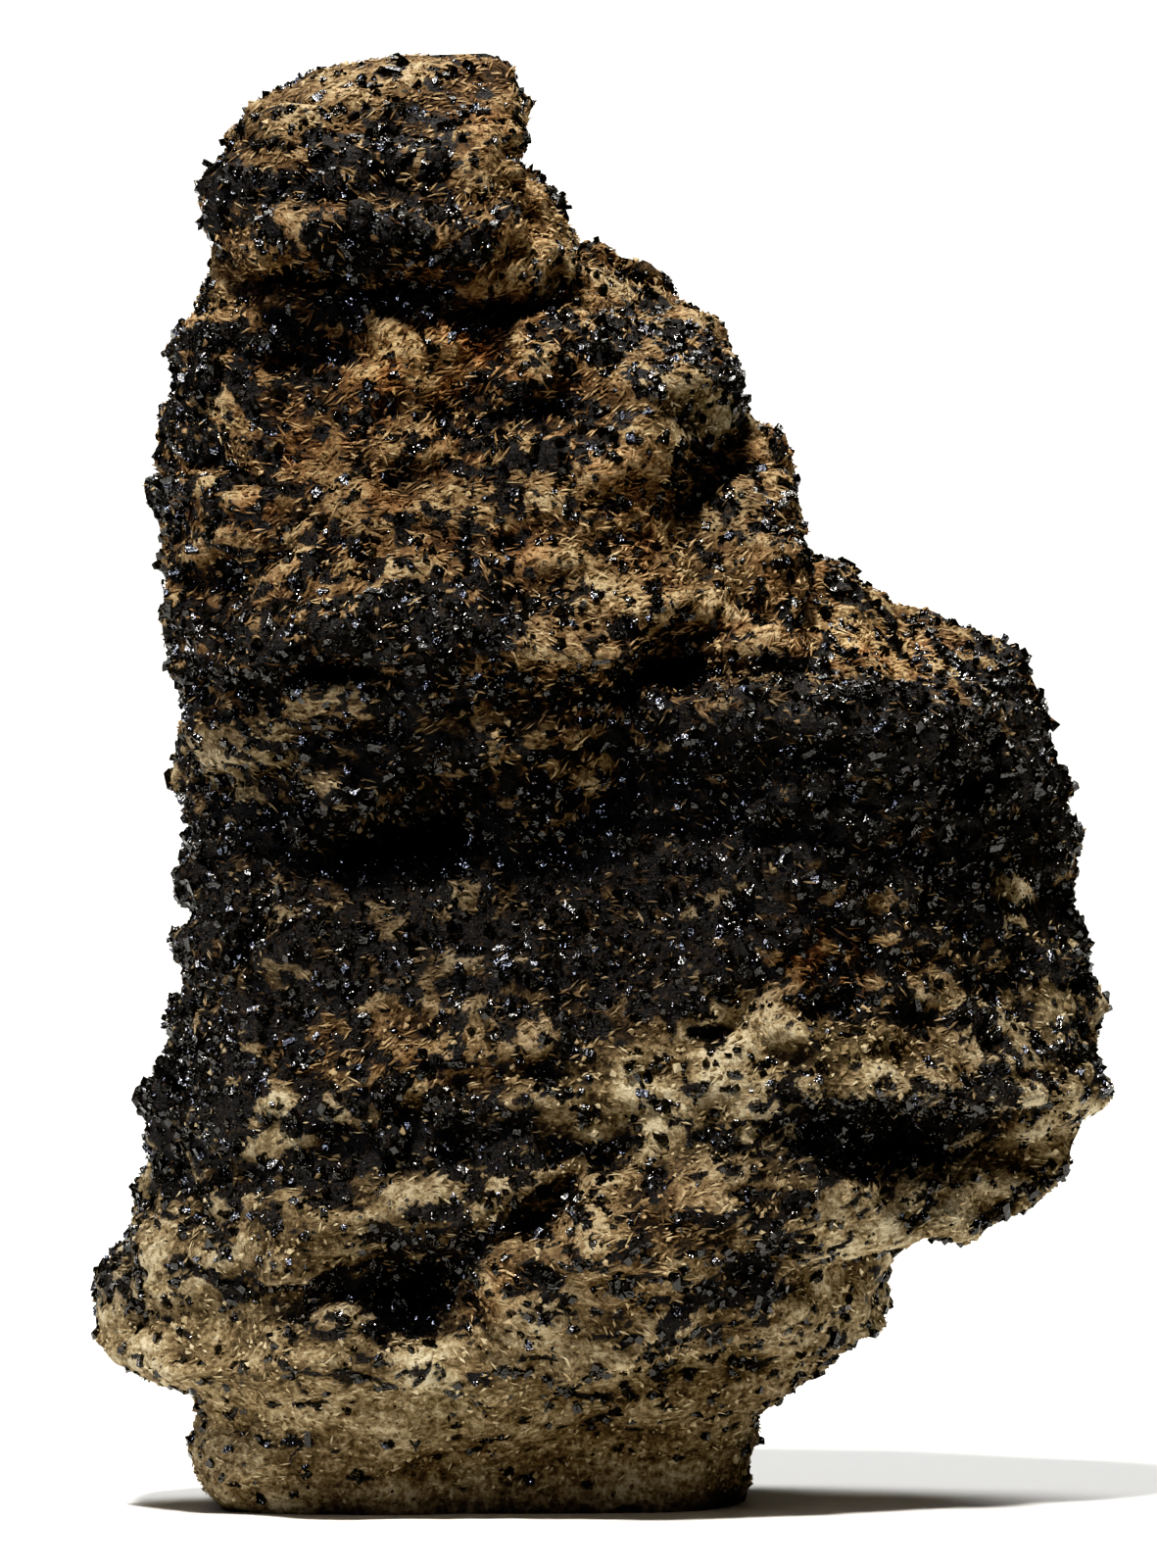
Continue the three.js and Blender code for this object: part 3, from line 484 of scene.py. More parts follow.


# %% [markdown]
# ## Where the black mineral is
# The black mineral follows the banding in seams, and also gathers in patches. The patches
# of the front are listed as ovals, each with a share of black, a warmth (1 for
# orange-tan, 0 for pale beige) and a lightness. Between them, and on the sides and the
# back, the banding alone decides. Fine noise then breaks each seam into speckle. The map
# could be painted on the mesh, but a list of ovals can be read and changed.
# The lightness is partly the rock's own tone: it is low under ledges as painted shade, and high on some
# undersides as painted light.

# %% Patches of the front
# centre x, centre z, half width, half height, black share, warmth, lightness (the rock's own tone with
# painted shade and painted light)
PATCHES = [
    (-6.4, 42, 2.8, 1, 0.66, 0.8, 0.6), (-6.6, 39, 3.8, 1.4, 0.78, 0.8, 0.5),
    (-10.8, 40.4, 1.2, 1.6, 0.72, 0.8, 0.6), (-9.2, 41, 0.8, 1.6, 0.29, 0.8, 0.7),
    (-6.2, 43.8, 4.5, 0.8, 0.2, 0.6, 0.7), (-9.4, 42.5, 1.6, 0.7, 0.14, 0.6, 0.7),
    (-2.9, 42.2, 1.4, 2.2, 0.04, 0.8, 0.85), (-1.6, 39.2, 2.6, 1.6, -0.1, 0.7, 1),
    # The second patch here lies under the cap's ledge: its black share and low lightness are partly
    # black mineral and partly painted shadow.
    (-11.3, 37.4, 1.5, 1.1, 0.06, 0.7, 0.95), (-7, 36.9, 4.2, 0.6, 0.8, 0.8, 0.3),
    (0.9, 37.4, 2.8, 0.9, 0.1, 0.7, 0.9), (-11.1, 35, 2.8, 1.3, 1.05, 0.8, 0.5),
    (-11.7, 32.7, 2.2, 1.7, 0.76, 0.8, 0.7), (-12, 30.6, 1.8, 1.2, 0.42, 0.8, 0.7),
    (-10.4, 28.4, 3.2, 0.9, 0.44, 0.8, 0.7), (-5.6, 35, 3.2, 1.8, 0.18, 1, 0.8),
    (-0.8, 35.7, 1.8, 1, 0.66, 0.8, 0.7), (2.5, 34.8, 2, 0.9, 0.68, 0.7, 0.7),
    (3.1, 33.3, 1.2, 0.8, 0.05, 0.1, 1), (-7.4, 32.4, 3.2, 1.4, 0.2, 0.9, 0.65),
    (-4.6, 29.9, 4.4, 2.2, 0.38, 0.8, 0.65), (-1.1, 32.9, 1.6, 1, 0.68, 0.8, 0.7),
    (3.7, 30.8, 2, 1.7, 0.5, 0.8, 0.4), (5.5, 32, 0.9, 1.8, 0.1, 0.7, 0.8),
    (0.1, 29.9, 1.2, 3, 0.04, 0.8, 0.9), (-9.4, 26, 4.4, 0.9, 1, 0.8, 0.4),
    (-4.8, 26.8, 2.6, 1, 0.92, 0.8, 0.4), (-0.5, 26.9, 1.8, 1.3, 0.35, 0.7, 0.7),
    (4.6, 27.4, 4, 1.3, 0.14, 0.7, 0.9), (9.2, 26.3, 2.8, 1.2, 0, 0.9, 1),
    # Between about 16 and 26 mm up, under the middle lip and on the black block, the low lightness of
    # these patches is painted shade; under the lip, part of the black share is painted shade too.
    (-9.6, 24.3, 4, 0.6, 0.45, 0.6, 0.6), (-10.9, 22.8, 2, 0.9, 0.42, 0.3, 0.6),
    (-5.8, 23.6, 2.8, 1.2, 0.78, 0.6, 0.2), (-1.6, 24, 1.5, 1.8, 0.26, 0.6, 0.9),
    (-5.6, 20.8, 2.6, 1.1, 0.95, 0.6, 0.1), (6.1, 22, 5.6, 3.2, 0.98, 0.7, 0.12),
    (9.6, 24.2, 2.4, 0.8, 1.1, 0.7, 0.3), (12.4, 22.6, 2.4, 3.8, 1.1, 0.5, 0.2),
    (12.4, 18, 2.2, 1.6, 0.78, 0.4, 0.5), (7, 16.8, 2.2, 1.1, 0.52, 1, 0.5),
    (10, 15.4, 1.6, 1.6, 0.5, 0.6, 0.5), (2.5, 18.2, 4.2, 2.8, 0.92, 0.6, 0.12),
    (-9.5, 19.2, 4, 1.8, 0.82, 0.6, 0.1), (-11, 16, 3, 1.8, 0.84, 0.6, 0.2),
    (-4.6, 17.6, 2.8, 1.6, 0.68, 0.5, 0.12), (2.2, 13.3, 3.2, 0.8, 0.1, 0.2, 0.85),
    (1.4, 11.6, 3, 0.8, 0.3, 0.2, 0.75), (4.8, 14.5, 1.6, 0.6, -0.1, 0.2, 1),
    (7.7, 14.2, 2, 0.7, -0.2, 0.1, 1), (13.2, 14.2, 2.2, 1.8, 0.58, 0.2, 0.6),
    (-5.4, 11.6, 3.8, 1.2, 0.8, 0.3, 0.5), (-10, 11.8, 0.5, 0.7, 0.05, 0.1, 0.8),
    (-7.2, 13.8, 2.8, 1.1, 0.38, 0.8, 0.7), (-11.8, 12.2, 2.4, 3.4, 1.1, 0.4, 0.5),
    (8.5, 11.2, 4, 1, 1.05, 0.4, 0.2), (13.6, 11, 1.8, 1.7, -0.1, 0.2, 1),
    (11.4, 10, 1.8, 0.6, 0.05, 0.4, 0.9), (-9.6, 8.6, 3.4, 1.4, 0.14, 0.3, 0.75),
    (-3.2, 6.8, 0.8, 1, 0.16, 0.7, 0.9), (-5.7, 7.4, 2.6, 1.3, 0.88, 0.4, 0.2),
    (1, 8.6, 2.6, 1.8, 0.32, 0.6, 0.7), (4.4, 7.8, 1.3, 1.5, 0.66, 0.4, 0.6),
    (-6.5, 5.9, 1.6, 0.5, 0.66, 0.3, 0.5), (8.2, 7.6, 1.8, 2.4, 0.02, 0.2, 1),
    (-15, 7, 0.8, 1, 0.56, 0.2, 0.5), (-13.4, 5.2, 2, 1.2, 0.14, 0.2, 0.9),
    (-3, 2, 9, 2, 0, 0.3, 0.85), (-11.4, 2.4, 2.2, 1.6, 0, 0.3, 1),
    (-2, 4.6, 7, 0.9, 0.2, 0.3, 0.8), (13, 18.8, 0.5, 0.7, 0, 0, 1),
    (14, 15.3, 0.6, 0.4, 0, 0, 0.9), (-5, 4.1, 0.6, 0.8, 0, 0, 1),
]
FRONT_UP_TO, FRONT_FADE = -0.5, 6.0  # how far back the patches of the front reach
PATCH_FALL = 1.3  # how quickly a patch gives way past its rim
PATCH_REST = 0.06  # weight of the plain banding under the patches
TYPICAL_PATCH = 3.0  # half width times half height; smaller patches count for more
print("patches:", len(PATCHES))

# %% The mineral map: black share, warmth and lightness at a point
# Black share and warmth of the plain rock by height.
BLACK_BY_HEIGHT = [
    [0, 0.05], [5, 0.12], [9, 0.3], [12, 0.55], [20, 0.7], [26, 0.6], [30, 0.45],
    [36, 0.6], [41, 0.7], [44.6, 0.5],
]
WARMTH_BY_HEIGHT = [[0, 0.15], [10, 0.25], [18, 0.6], [26, 0.8], [44.6, 0.85]]
BAND_WARMTH, PLAIN_LIGHT = 0.5, 0.6  # warmth that goes with black, and the lightness
BACK_BANDS = [((14, 14, 2.6), 0.32, 81), ((7, 7, 1.2), 0.16, 82)]
PATCH_WANDER = [((2.6, 2.6, 1.6), 0.8, 84), ((2.6, 2.6, 1.6), 0.5, 85)]


def mineral_map(points):
    """Averages the patches, each weighted by a bell of its oval, with the plain banding.
    The patches count fully on the front and not at all on the back."""
    x, y, z = points.T
    bands = layered(noise, BACK_BANDS, x, y, z - BACK_DIP * y)
    plain = np.stack([
        read_table(BLACK_BY_HEIGHT, z) + bands,
        read_table(WARMTH_BY_HEIGHT, z) + BAND_WARMTH * bands,
        np.full_like(z, PLAIN_LIGHT),
    ])
    moved_x = x + layered(noise, PATCH_WANDER[:1], x, y, z)
    moved_z = z + layered(noise, PATCH_WANDER[1:], x, y, z)
    total = np.full_like(x, PATCH_REST)
    summed = plain * PATCH_REST
    for centre_x, centre_z, half_x, half_z, *values in PATCHES:
        away = ((moved_x - centre_x) / half_x) ** 2 + ((moved_z - centre_z) / half_z) ** 2
        weight = np.exp(-PATCH_FALL * away) * (TYPICAL_PATCH / (half_x * half_z)) ** 0.5
        total = total + weight
        summed = summed + np.outer(values, weight)
    front = 1 - smooth((y - FRONT_UP_TO) / FRONT_FADE)
    return summed / total * front + plain * (1 - front)


print("black share, warmth, lightness of one place:", mineral_map(np.array([[0, -5, 20.0]])).round(2).T)

# %% The seams' speckle
SPECKLE = [
    ((3.0, 3.0, 0.9), 0.12, 91), ((1.3, 1.3, 0.55), 0.22, 92),
    ((0.6, 0.6, 0.36), 0.5, 93), ((0.33, 0.33, 0.25), 0.65, 94),
]
# How steeply the streaks climb to the right, by height.
STREAK_CLIMB = [[0, 0.0], [24, 0.0], [29, 0.22], [37, 0.22], [44.6, 0.1]]
SLANT = (0.6, -0.4)  # the cells of the speckle lean, so that no upright lines show


def seam_score(points, share):
    """Above 0 where the rock is black: the share of black with speckle added."""
    x, y, z = points.T
    level = z - BACK_DIP * y - read_table(STREAK_CLIMB, z) * x
    return share - 0.5 + layered(noise, SPECKLE, x + SLANT[0] * z, y + SLANT[1] * z, level)


EDGE_OF_BLACK = 0.5  # how far a score may be from 0 and still be a mixture
print("the speckle adds at most", sum(height for _, height, _ in SPECKLE))

# %% [markdown]
# ## Small pieces on the skin
# Up close the rock is a crust of separate bits: black grains a tenth to a third of a
# millimetre across, pale crumbs as small, and thin fibres up to three quarters of a
# millimetre long that lie along the banding. Each kind is one small closed shape of a few
# faces, repeated with its own size, stretch and turn. They are worked out together as
# arrays and joined in a few meshes, because thousands of objects would be slow.

# %% Shapes of a block, a prism and a splinter
BLOCK = np.array([
    [-1, -1, -1], [1, -1, -1], [1, 1, -1], [-1, 1, -1],
    [-0.8, -0.8, 1], [0.9, -0.8, 0.9], [0.8, 0.8, 1], [-0.8, 0.9, 0.8],
]) * 0.85
BLOCK_FACES = np.array([
    [0, 2, 1], [0, 3, 2], [4, 5, 6], [4, 6, 7], [0, 1, 5], [0, 5, 4],
    [1, 2, 6], [1, 6, 5], [2, 3, 7], [2, 7, 6], [3, 0, 4], [3, 4, 7],
])


def prism_shape(sides, taper):
    """A prism along z from -1 to 1 whose top is smaller than its foot."""
    angle = 2 * np.pi * np.arange(sides) / sides
    ring = np.stack([np.cos(angle), np.sin(angle)], -1)
    points = np.concatenate([
        np.c_[ring, -np.ones(sides)], np.c_[ring * taper, np.ones(sides)],
    ])
    faces = []
    for s in range(sides):
        t = (s + 1) % sides
        faces += [[s, t, sides + t], [s, sides + t, sides + s]]
    for s in range(1, sides - 1):
        faces += [[0, s + 1, s], [sides, sides + s, sides + s + 1]]
    return points, np.array(faces)


# Two four-sided points foot to foot, a little askew. Stretched it is a fibre, and swollen
# unevenly it is a crumb or a chip of the black mineral.
SPLINTER = np.array([
    [0, 0, -1], [1, 0, -0.15], [0, 1, 0.1], [-1, 0, 0.2], [0, -1, -0.1], [0, 0, 1],
])
SPLINTER_FACES = np.array([
    [0, 2, 1], [0, 3, 2], [0, 4, 3], [0, 1, 4], [5, 1, 2], [5, 2, 3], [5, 3, 4], [5, 4, 1],
])
print("faces of a block and of a splinter:", len(BLOCK_FACES), len(SPLINTER_FACES))


# %% Many small shapes in one mesh
rng = np.random.default_rng(seed=4)


def turned_axes(count):
    """Random turns as three axes each, from random quaternions."""
    w, x, y, z = unit(rng.normal(size=(count, 4))).T
    return np.stack([
        np.stack([1 - 2 * (y * y + z * z), 2 * (x * y - w * z), 2 * (x * z + w * y)], -1),
        np.stack([2 * (x * y + w * z), 1 - 2 * (x * x + z * z), 2 * (y * z - w * x)], -1),
        np.stack([2 * (x * z - w * y), 2 * (y * z + w * x), 1 - 2 * (x * x + y * y)], -1),
    ], axis=-1)


def scattered(shape, faces, places, axes, sizes, uneven=0.0):
    """Each copy of the shape is unevenly swollen, scaled along its axes, turned, moved."""
    swell = 1 + uneven * rng.uniform(-1, 1, (len(places), len(shape), 1))
    scaled = shape * swell * sizes[:, None, :]
    points = np.einsum("nij,nvj->nvi", axes, scaled) + places[:, None, :]
    kept = (points >= box_low).all((1, 2)) & (points <= box_high).all((1, 2))
    points = points[kept]
    first = np.arange(len(points))[:, None, None] * len(shape)
    return points.reshape(-1, 3), (faces + first).reshape(-1, 3), kept


def joined(parts):
    """Several (points, triangles) as one."""
    starts = np.cumsum([0] + [len(points) for points, _ in parts])
    triangles = [faces + start for (_, faces), start in zip(parts, starts)]
    return np.concatenate([points for points, _ in parts]), np.concatenate(triangles)


print("faces of two splinters:", len(joined([(SPLINTER, SPLINTER_FACES)] * 2)[1]))


# %% Where the solid's larger crystals are
# Ovals rich in straczekite: centre x, centre z, half width, half height, turn in degrees.
SEAMS = [
    (-7.6, 40.2, 4.6, 2.4, 8), (-6.2, 37.9, 5.4, 1.0, 0), (-10.4, 34.9, 3.8, 1.6, 4),
    (0.0, 35.6, 2.4, 1.1, -6), (3.2, 34.8, 1.6, 0.8, 0), (-11.6, 31.6, 2.6, 2.0, 0),
    (1.2, 32.2, 2.4, 1.6, -20), (-8.4, 27.0, 5.4, 1.0, 2), (7.6, 20.8, 7.4, 4.6, -2),
    (-8.4, 18.6, 5.0, 3.2, 0), (-12.0, 12.6, 2.4, 3.0, 6), (-6.0, 12.2, 4.4, 1.6, 0),
    (9.0, 12.0, 5.0, 1.4, -2), (4.6, 8.0, 2.4, 1.8, 20),
]
# Tries, and how many are kept; then ranges from least to most.
CRYSTAL_TRIES, CRYSTAL_MOST, CRYSTAL_SIDES = 420, 48, 5
CRYSTAL_HEIGHTS, CRYSTAL_RICHNESS = (2.5, 42.5), (0.35, 0.75)
CRYSTAL_RADIUS, CRYSTAL_LENGTH = (0.45, 0.75), (1.0, 1.6)
CRYSTAL_PROUD, CRYSTAL_TAPER, CRYSTAL_LEAN = 0.3, 0.72, 0.9
TURN_STEP, HEIGHT_STEP = 0.03, 0.3  # steps that give the rock's own direction
ASIDE = np.array([0.3, 0.1, 1.0])  # a direction to set the crystals' sides by
CRYSTAL_SLICE, CRYSTAL_SEED = 5, 91
print("seams with larger crystals:", len(SEAMS))


# %% The larger crystals
def pick(identity, what):
    """The solid's random number for one crystal and one property."""
    return cell_number(identity, what, CRYSTAL_SLICE, CRYSTAL_SEED)


def between(limits, share):
    """From the first limit to the second, by a share."""
    return limits[0] + (limits[1] - limits[0]) * share


def large_crystals():
    """Tapered prisms that lean out of the rock where a seam is rich, as in the solid."""
    tried = np.arange(CRYSTAL_TRIES)
    turn = 2 * np.pi * pick(tried, 0)
    height = between(CRYSTAL_HEIGHTS, pick(tried, 1))
    at = body_points(turn, height)
    richness = np.max([inside_oval(*seam, at[:, 0], at[:, 2]) for seam in SEAMS], axis=0)
    rich = richness >= between(CRYSTAL_RICHNESS, pick(tried, 2))
    kept = np.flatnonzero(rich)[:CRYSTAL_MOST]
    turn, height, at = turn[kept], height[kept], at[kept]
    sideways = body_points(turn + TURN_STEP, height) - body_points(turn - TURN_STEP, height)
    upwards = body_points(turn, height + HEIGHT_STEP) - body_points(turn, height - HEIGHT_STEP)
    normal = unit(np.cross(sideways, upwards))
    lean = np.stack([pick(kept, 5), pick(kept, 6), pick(kept, 7)], -1) - 0.5
    stand = unit(normal + CRYSTAL_LEAN * lean)
    radius = between(CRYSTAL_RADIUS, pick(kept, 3))
    length = between(CRYSTAL_LENGTH, pick(kept, 4))
    seat = with_lenses(at, normal)[0] + stand * (CRYSTAL_PROUD - length / 2)[:, None]
    side = unit(np.cross(stand, ASIDE))
    crystal_axes = np.stack([side, np.cross(stand, side), stand], axis=-1)
    crystal_sizes = np.stack([radius, radius, length / 2], -1)
    shape, faces = prism_shape(CRYSTAL_SIDES, CRYSTAL_TAPER)
    return scattered(shape, faces, to_size(seat), crystal_axes, crystal_sizes)[:2]


crystals = large_crystals()
print("larger crystals:", len(crystals[0]) // (2 * CRYSTAL_SIDES))

# %% The rock's skin as a piece, with the larger crystals on it
FULL_RIDGE = 0.25  # a sliver this high counts as a full ridge, and this deep as none; the skin is painted lighter on ridges and darker in hollows, as painted light and shade
surface_points, surface_triangles = joined([(skin_points, skin_triangles), crystals])
is_crystal = np.arange(len(surface_points)) >= len(skin_points)
black_share, warmth, light = mineral_map(surface_points)
score = seam_score(surface_points, black_share) + is_crystal
ridge = np.zeros(len(surface_points))
ridge[: sliver_height.size] = sliver_height.ravel()
rock = mesh_object(
    "rock", surface_points, surface_triangles, "smooth",
    black=smooth(0.5 + score / EDGE_OF_BLACK), warmth=np.clip(warmth, 0, 1),
    light=np.clip(light, 0, 1), ridge=np.clip(0.5 + 0.5 * ridge / FULL_RIDGE, 0, 1),
)
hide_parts(ROCK_NODE)
print("share of the skin that is black:", (score > 0).mean().round(3))

# %% Random places on the skin
corners = surface_points[surface_triangles]
on_crystal = np.arange(len(surface_triangles)) >= len(skin_triangles)
cross = np.cross(corners[:, 1] - corners[:, 0], corners[:, 2] - corners[:, 0])
area = np.linalg.norm(cross, axis=1) / 2
face_normals = unit(cross)
print("area of the skin in square mm:", area.sum().round())


def places_on_skin(count):
    """Points spread evenly by area: a triangle by its share, then a place inside it."""
    chosen = rng.choice(len(area), size=count, p=area / area.sum())
    a, b = rng.random((2, count, 1))
    folded = a + b > 1
    a, b = np.where(folded, 1 - a, a), np.where(folded, 1 - b, b)
    p, q, r = np.moveaxis(corners[chosen], 1, 0)
    return p + a * (q - p) + b * (r - p), face_normals[chosen], on_crystal[chosen]


# %% [markdown]
# ## Black grains
# Straczekite here forms blunt blocks and stubby prisms. They crowd where the map is black,
# and little knots of them sit alone in the pale rock, which is what makes the lower half
# of the piece look peppered. Only the largest grains are blocks, with two faces on each
# side; for the smaller ones the splinter of eight faces is enough.

# %% Places of the grains in the seams, and of the knots in the pale rock
SEAM_GRAINS = 45000
KNOTS, GRAINS_PER_KNOT = 1600, 5
KNOT_SPREAD = 0.1  # of a knot's grains round its middle, in mm
BORDER = 0.18  # grains and fibres reach this far over the border of a seam, in score
WELL_OUTSIDE = -0.1  # knots keep to a score below this
KNOTS_BY_HEIGHT = [[0, 0], [3, 0.3], [6, 0.8], [15, 0.8], [20, 1], [44.6, 1]]
ABOVE_FLOOR = 0.4  # nothing is strewn lower than this
SEAM_TRIES, KNOT_TRIES = 4, 12  # places looked at for each one wanted


def seam_places(wanted):
    """Places where the map is black, and on the larger crystals."""
    places, normals, crystal = places_on_skin(SEAM_TRIES * wanted)
    share, _, _ = mineral_map(places)
    border = BORDER * rng.uniform(-1, 1, len(places))
    in_seam = (seam_score(places, share) > border) | crystal
    chosen = np.flatnonzero(in_seam & (places[:, 2] > ABOVE_FLOOR))[:wanted]
    return places[chosen], normals[chosen]


def knot_places(knots, each):
    """Some places of the pale rock, each with several more close round it."""
    places, normals, crystal = places_on_skin(KNOT_TRIES * knots)
    share, _, _ = mineral_map(places)
    pale = (seam_score(places, share) < WELL_OUTSIDE) & ~crystal & (places[:, 2] > ABOVE_FLOOR)
    pale &= rng.random(len(places)) < read_table(KNOTS_BY_HEIGHT, places[:, 2])
    chosen = np.repeat(np.flatnonzero(pale)[:knots], each)
    normal = normals[chosen]
    aside = rng.normal(0, KNOT_SPREAD, (len(chosen), 3))
    aside -= normal * np.sum(aside * normal, axis=1, keepdims=True)
    return places[chosen] + aside, normal


grain_places, grain_normals = (
    np.concatenate(pair)
    for pair in zip(seam_places(SEAM_GRAINS), knot_places(KNOTS, GRAINS_PER_KNOT))
)
print("grains:", len(grain_places))

# %% Sizes of the grains
GRAIN_RADIUS, GRAIN_WIDTH = (0.05, 0.15), (0.7, 1.1)
MOSTLY_SMALL = 1.7  # the power that makes small grains the most
LONG_SHARE, LONG_BY = 0.3, (1.4, 2.4)
STANDING = (-0.6, 0.35)  # from sunk to proud of the skin, in half thicknesses


def grain_sizes(count):
    """Half sizes along each grain's axes: mostly small, some twice as long as wide."""
    radius = between(GRAIN_RADIUS, rng.random(count) ** MOSTLY_SMALL)
    long = np.where(rng.random(count) < LONG_SHARE, rng.uniform(*LONG_BY, count), 1.0)
    width = rng.uniform(*GRAIN_WIDTH, (2, count))
    return np.stack([radius * width[0], radius * width[1], radius * long], -1)


sizes = grain_sizes(len(grain_places))
standing = rng.uniform(*STANDING, len(sizes)) * sizes.min(1)
grain_places = grain_places + grain_normals * standing[:, None]
axes = turned_axes(len(sizes))
print("mean grain in mm:", (2 * sizes.mean()).round(3))

# %% Grain pieces, parted by height to keep each one light
BLOCK_SHARE, GRAIN_UNEVEN = 0.25, 0.2
order = np.argsort(-grain_places[:, 2])
grain_pieces = []
for name, chosen in zip(("upper", "middle", "lower"), np.array_split(order, 3)):
    by_size = chosen[np.argsort(-sizes[chosen].min(1))]
    blocks, chips = np.split(by_size, [int(BLOCK_SHARE * len(by_size))])
    parts, tones = [], []
    for shape, faces, some in ((BLOCK, BLOCK_FACES, blocks), (SPLINTER, SPLINTER_FACES, chips)):
        points, triangles, kept = scattered(
            shape, faces, grain_places[some], axes[some], sizes[some], GRAIN_UNEVEN
        )
        parts.append((points, triangles))
        tones.append(np.repeat(rng.random(kept.sum()), len(shape)))
    points, triangles = joined(parts)
    piece = mesh_object(
        f"straczekite_grains_{name}", points, triangles, "flat", tone=np.concatenate(tones)
    )
    grain_pieces.append(piece)
    print(piece.name, "triangles:", len(triangles))

# %% [markdown]
# ## Fibres and crumbs of the pale rock
# The tan rock splits into fibres along its banding, longest in the warm upper half. The
# pale lower half is sugary instead: short crumbs. Both only show where the map isn't black.

# %% Fibres along the banding
FIBRES = 24500
FIBRE_LENGTH = (0.2, 0.75)
FIBRE_WIDTH = (0.025, 0.055)
FIBRE_FAN = [((4, 4, 3), 1.2, 101)]  # how whole tufts turn, in radians
FIBRE_TURN, FIBRE_LIFT = 0.45, (-0.1, 0.6)  # how single fibres turn and lift off the skin
FIBRE_FLATNESS, FIBRE_ABOVE, COOL_LENGTH = 0.55, 0.04, 0.45
FIBRE_UNEVEN, CRUMB_UNEVEN = 0.1, 0.25
PALE_TRIES, LEAST_FAVOUR = 6, 0.05
STRAY = 0.08  # share of the pale pieces that lie anywhere, also among the grains
MOSTLY_SHORT, WARM_FAVOUR = 1.5, 0.8  # powers: most fibres are short, and in warm rock


def pale_places(wanted, warm_power):
    """Places that aren't black; a power above 0 favours the warm, fibrous upper rock."""
    places, normals, crystal = places_on_skin(PALE_TRIES * wanted)
    share, warmth, light = mineral_map(places)
    score = seam_score(places, share) + crystal
    favour = np.clip(warmth, LEAST_FAVOUR, 1) ** warm_power
    border = BORDER * rng.uniform(-1, 1, len(places))
    stray = rng.random(len(places)) < STRAY
    wanted_here = ((score < border) | stray) & (rng.random(len(places)) < favour)
    chosen = np.flatnonzero(wanted_here & (places[:, 2] > ABOVE_FLOOR))[:wanted]
    return places[chosen], normals[chosen], np.clip(warmth[chosen], 0, 1), light[chosen]


def fibre_axes(places, normals):
    """Level along the surface, fanned by a slow noise, and lifted a little off it."""
    level = unit(np.cross([0.0, 0.0, 1.0], normals))
    upward = np.cross(normals, level)
    x, y, z = places.T
    fan = layered(noise, FIBRE_FAN, x, y, z) + rng.normal(0, FIBRE_TURN, len(places))
    lift = rng.uniform(*FIBRE_LIFT, len(places))
    run = level * np.cos(fan)[:, None] + upward * np.sin(fan)[:, None]
    run = unit(run + normals * lift[:, None])
    across = unit(np.cross(run, normals))
    return np.stack([across, np.cross(run, across), run], axis=-1)


places, normals, warmth, light = pale_places(FIBRES, WARM_FAVOUR)
length = between(FIBRE_LENGTH, rng.random(len(places)) ** MOSTLY_SHORT)
length = length * (COOL_LENGTH + (1 - COOL_LENGTH) * warmth)
width = between(FIBRE_WIDTH, rng.random(len(places)))
fibre_sizes = np.stack([width, FIBRE_FLATNESS * width, length / 2], -1)
fibre_turns = fibre_axes(places, normals)
print("mean length of a fibre in mm:", length.mean().round(2))


# %% One mesh of strewn splinters
def strewn_piece(name, places, axes, sizes, uneven, warmth, light):
    """One mesh of splinters, each with a tone of its own and its place's warmth and lightness, which
    paints shade and light.
    """
    points, triangles, kept = scattered(SPLINTER, SPLINTER_FACES, places, axes, sizes, uneven)
    looks = {"tone": rng.random(kept.sum()), "warmth": warmth[kept], "light": light[kept]}
    each = {key: np.repeat(np.clip(values, 0, 1), len(SPLINTER)) for key, values in looks.items()}
    piece = mesh_object(name, points, triangles, "flat", **each)
    print(name, kept.sum(), "triangles:", len(triangles))
    return piece


raised = places + FIBRE_ABOVE * normals
fibres = strewn_piece(
    "rock_fibres", raised, fibre_turns, fibre_sizes, FIBRE_UNEVEN, warmth, light
)

# %% Crumbs of the pale rock
CRUMBS = 14000
CRUMB_RADIUS, CRUMB_STRETCH, MOSTLY_FINE = (0.05, 0.14), (0.6, 1.4), 2
places, normals, warmth, light = pale_places(CRUMBS, 0.0)
radius = between(CRUMB_RADIUS, rng.random(len(places)) ** MOSTLY_FINE)
crumb_sizes = radius[:, None] * rng.uniform(*CRUMB_STRETCH, (len(places), 3))
crumb_turns = turned_axes(len(places))
crumbs = strewn_piece(
    "rock_crumbs", places, crumb_turns, crumb_sizes, CRUMB_UNEVEN, warmth, light
)

# %% [markdown]
# ## Materials
# The rock is altered feldspar and quartz: dull and rough, stained orange by iron in the
# upper half. Straczekite is a dense vanadium mineral, so it has a high index and shines
# like wet coal. A picture of rock could be wrapped round the piece, but it would stretch at
# every ledge, so the patterns are noises measured in the piece's own millimetres. Colours
# are given as on a screen, and one function turns them into the shaders' linear values.

# %% Colours and a node helper
def linear(hex_colour):
    """sRGB hex to linear: a short straight line near black, then a power of 2.4."""
    srgb = np.array([int(hex_colour[i : i + 2], 16) for i in (1, 3, 5)]) / 255
    values = np.where(srgb <= 0.04045, srgb / 12.92, ((srgb + 0.055) / 1.055) ** 2.4)
    return (*values, 1.0)


def cycles_per_metre(size_mm):
    """A texture scale that gives features of that size."""
    return 1 / (size_mm * MM)


